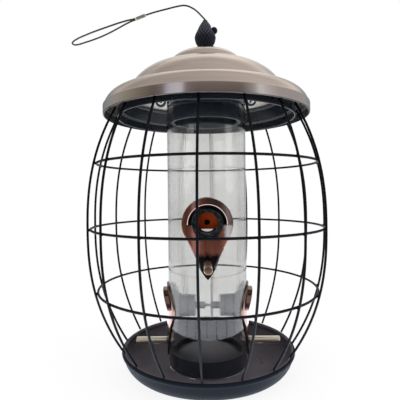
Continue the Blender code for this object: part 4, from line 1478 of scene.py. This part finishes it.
def make_ports():
    seat = math.sqrt(tube_bore**2 - perch_head_radius**2) - gap
    for place, angle, height in ports:
        make_hood(place, angle, height)
        make_sleeve(place, angle, height)
        make_lining(place, angle, height)
        make_perch(place, angle, height)
        make_screw(
            "perch_bolt_" + place, "perch_screw_" + place, outwards(angle, height - perch_drop),
            plate_outer + thread_depth, seat, perch_head_radius, seat - perch_head_height,
        )
    seat = cup_floor + gap
    for level, (_, angle, height) in (("upper", ports[0]), ("lower", ports[3])):
        make_screw(
            "tie_bolt_" + level, "tie_screw_" + level, outwards(angle, height),
            -cup_floor, seat, tie_head_radius, seat + tie_head_height,
        )


# Cage

def barrel_radius(height):
    if height >= waist_height:
        share = (height - waist_height) / (wire_head_z - waist_height)
        drop = waist_radius - wire_head_radius
    else:
        share = (waist_height - height) / (waist_height - wire_foot_z)
        drop = waist_radius - wire_foot_radius
    return waist_radius - drop * share**barrel_power_share


def make_cage():
    angles = [wire_turn + i * math.tau / wire_count for i in range(wire_count)]
    line = [Vector((0.0, -barrel_radius(z), z)) for z in even(wire_foot_z, wire_head_z, 49)]
    for i, angle in enumerate(angles):
        name = "%02d" % (i + 1)
        turn = Matrix.Rotation(angle, 3, "Z")
        strand = wire_curve("barrel_wire_" + name, [turn @ p for p in line], wire_radius - clear_of_box)
        dress(strand, black_coat, "frame", "black_coat", "cage_wire_" + name)
    for level, height in ring_levels:
        radius = barrel_radius(height) - wire_radius * 2 - gap
        hoop = lathe("hoop", arc((radius, height), wire_radius, 0, 337.5, 16), 160)
        beads = [weld_bead(radius + wire_radius + gap / 2, angle, height) for angle in angles]
        ring = join("barrel_hoop_" + level, [hoop] + beads)
        dress(ring, black_coat, "frame", "black_coat", "cage_ring_" + level)


def weld_bead(distance, angle, height):
    """The small fillet of weld and coat where a hoop meets a wire."""
    size = wire_radius * 1.15
    stretch = (1.15, 0.62, 1.15, 1)
    bpy.ops.mesh.primitive_uv_sphere_add(segments=16, ring_count=10, radius=size)
    bead = bpy.context.object
    bead.data.transform(Matrix.Diagonal(stretch))
    bead.matrix_world = Matrix.Rotation(angle, 4, "Z") @ Matrix.Translation((0, -distance, height))
    return bead


def make_top_ring():
    half = ring_sheet / 2
    top = shoulder_z - lid_sheet - gap
    low = ring_skirt_top - ring_skirt_height
    under = ring_skirt_top - ring_sheet
    profile = [
        (ring_inner, top), (ring_flange, top), (ring_flange + half, top - half),
        (ring_step + half, ring_skirt_top), (ring_skirt - half, ring_skirt_top),
        (ring_skirt, ring_skirt_top - half), (ring_skirt, low), (ring_skirt - ring_sheet, low),
        (ring_skirt - ring_sheet, under), (ring_step - half, under),
        (ring_flange - half, top - ring_sheet), (ring_inner, top - ring_sheet),
    ]
    ring = lathe("stamped_top_ring", soften(profile, 0.0007), 160)
    dress(ring, ring_coat, "frame", "black_coat", "cage_top_ring")


# Floor, backdrop and light

def make_floor():
    """A round pale floor that is white to the camera and keeps the object's shadow."""
    bpy.ops.mesh.primitive_circle_add(vertices=96, radius=0.6, fill_type="NGON", location=(0, 0, -0.0002))
    floor = bpy.context.object
    floor.name = "floor"
    nodes = new_nodes("pale_floor")
    rays = nodes.rays()
    shine = nodes.times(rays["Is Glossy Ray"], nodes.minus(1.0, rays["Is Transmission Ray"]))
    distance = nodes.add("ShaderNodeVectorMath", {0: nodes.place()}, operation="LENGTH").outputs["Value"]
    near = nodes.span(distance, 2.2, 0.0, start=0.22, end=0.36)
    white = 1.06
    glow = nodes.add("ShaderNodeEmission", {
        "Color": nodes.mix(shine, (1, 1, 1), (0.90, 0.96, 1.06)),
        "Strength": nodes.plus(nodes.times(shine, near), white),
    })
    seen = nodes.larger(rays["Is Camera Ray"], rays["Is Transmission Ray"])
    seen = nodes.larger(seen, rays["Is Glossy Ray"])
    glow_share = 0.82
    nodes.blend_with(nodes.times(seen, glow_share), glow)
    made = nodes.give({"Base Color": (0.82, 0.82, 0.82), "Roughness": 0.8, "Specular IOR Level": 0.1})
    floor.data.materials.append(made)


# What polished metal sees round it: the light at each azimuth from the front, positive to the right
round_light = [
    (-180, (0.92, 0.94, 0.96)), (-166, (0.86, 0.88, 0.92)), (-154, (0.20, 0.22, 0.24)),
    (-128, (0.33, 0.38, 0.41)), (-109, (0.40, 0.41, 0.42)), (-91, (0.34, 0.35, 0.32)),
    (-73, (0.24, 0.24, 0.22)), (-56, (0.14, 0.13, 0.12)), (-45, (0.18, 0.18, 0.20)),
    (-39, (0.58, 0.66, 0.86)), (-25, (0.72, 0.80, 0.98)), (-21, (0.20, 0.19, 0.23)),
    (-10, (0.14, 0.12, 0.13)), (36, (0.13, 0.12, 0.12)), (50, (0.40, 0.43, 0.48)),
    (56, (0.82, 0.92, 1.04)), (64, (0.62, 0.68, 0.75)), (80, (0.46, 0.47, 0.52)),
    (128, (0.42, 0.45, 0.49)), (148, (0.27, 0.30, 0.32)), (156, (0.35, 0.37, 0.40)),
    (168, (0.86, 0.88, 0.92)), (180, (0.92, 0.94, 0.96)),
]
# and overhead, from the front to the back
over_light = [
    (-1.0, (0.60, 0.60, 0.60)), (-0.4, (0.55, 0.55, 0.55)), (0.0, (0.60, 0.60, 0.60)),
    (0.22, (0.52, 0.52, 0.52)), (0.38, (0.66, 0.66, 0.66)), (0.52, (1.16, 1.15, 1.12)),
    (0.61, (1.10, 1.10, 1.08)), (0.68, (0.98, 0.98, 0.97)), (0.74, (0.84, 0.85, 0.86)),
    (0.88, (0.86, 0.89, 0.91)), (1.0, (0.92, 0.94, 0.96)),
]


def light_curve(nodes, value, reach, stops):
    """A light's colour read off a list of (place, colour) stops between -reach and reach."""
    share = nodes.span(value, start=-reach, end=reach)
    return nodes.ramp(share, [((place + reach) / (reach * 2), colour) for place, colour in stops])


def make_world():
    """White to the eye and even for soft light; soft boxes and dark cards for reflections."""
    world = bpy.data.worlds.new("studio")
    bpy.context.scene.world = world
    nodes = Nodes(world, "Background")
    rays = nodes.rays()
    sky = nodes.add("ShaderNodeTexCoord").outputs["Generated"]
    ways = nodes.add("ShaderNodeSeparateXYZ", {0: sky}).outputs
    turn = nodes.maths("ARCTAN2", ways["X"], nodes.times(ways["Y"], -1.0))
    low = light_curve(nodes, turn, math.pi, [(math.radians(a), colour) for a, colour in round_light])
    high = light_curve(nodes, ways["Y"], 1.0, over_light)
    slant = nodes.span(ways["X"], 0.70, 1.30, start=-1.0, end=1.0)
    aside = nodes.span(nodes.maths("ABSOLUTE", ways["X"]), start=0.22, end=0.42)
    behind = nodes.span(ways["Y"], 0.0, 0.46, start=0.3, end=0.65)
    strength = nodes.times(slant, nodes.minus(1.0, nodes.times(aside, behind)))
    high = nodes.add("ShaderNodeVectorMath", {0: high, "Scale": strength}, operation="SCALE").outputs[0]
    rise = nodes.span(ways["Z"], start=0.33, end=0.47, interpolation_type="SMOOTHSTEP")
    shine = nodes.mix(rays["Is Glossy Ray"], (0.6, 0.6, 0.6), nodes.mix(rise, low, high))
    seen = nodes.larger(rays["Is Camera Ray"], rays["Is Transmission Ray"])
    nodes.give({"Color": nodes.mix(seen, shine, (1, 1, 1))})


def make_lamps():
    aim = Vector((0, 0, 0.18))
    for name, place, width, height, power in (
        ("soft_left", (-0.75, -0.80, 0.55), 0.5, 0.7, 3),
        ("soft_right", (0.95, -0.35, 0.55), 0.5, 0.8, 4),
        ("soft_top", (0.0, -0.1, 1.2), 0.9, 0.9, 4),
    ):
        data = bpy.data.lights.new(name, "AREA")
        data.shape = "RECTANGLE"
        data.size = width
        data.size_y = height
        data.energy = power
        lamp = add_object(name, data)
        lamp.location = place
        lamp.rotation_mode = "QUATERNION"
        lamp.rotation_quaternion = (aim - Vector(place)).to_track_quat("-Z", "Y")
        lamp.visible_glossy = False


def build():
    make_camera()
    make_cables()
    make_lid()
    make_bush()
    make_lock()
    make_button()
    make_tray()
    make_tray_screw()
    make_tube()
    make_seat()
    make_collar()
    make_bail()
    make_crimp()
    make_ports()
    make_cage()
    make_top_ring()
    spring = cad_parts["lock_spring"]
    spring.data.materials.clear()
    spring.data.materials.append(screw_metal)
    make_floor()
    make_world()
    make_lamps()
    bpy.context.scene.view_settings.view_transform = "Standard"


build()
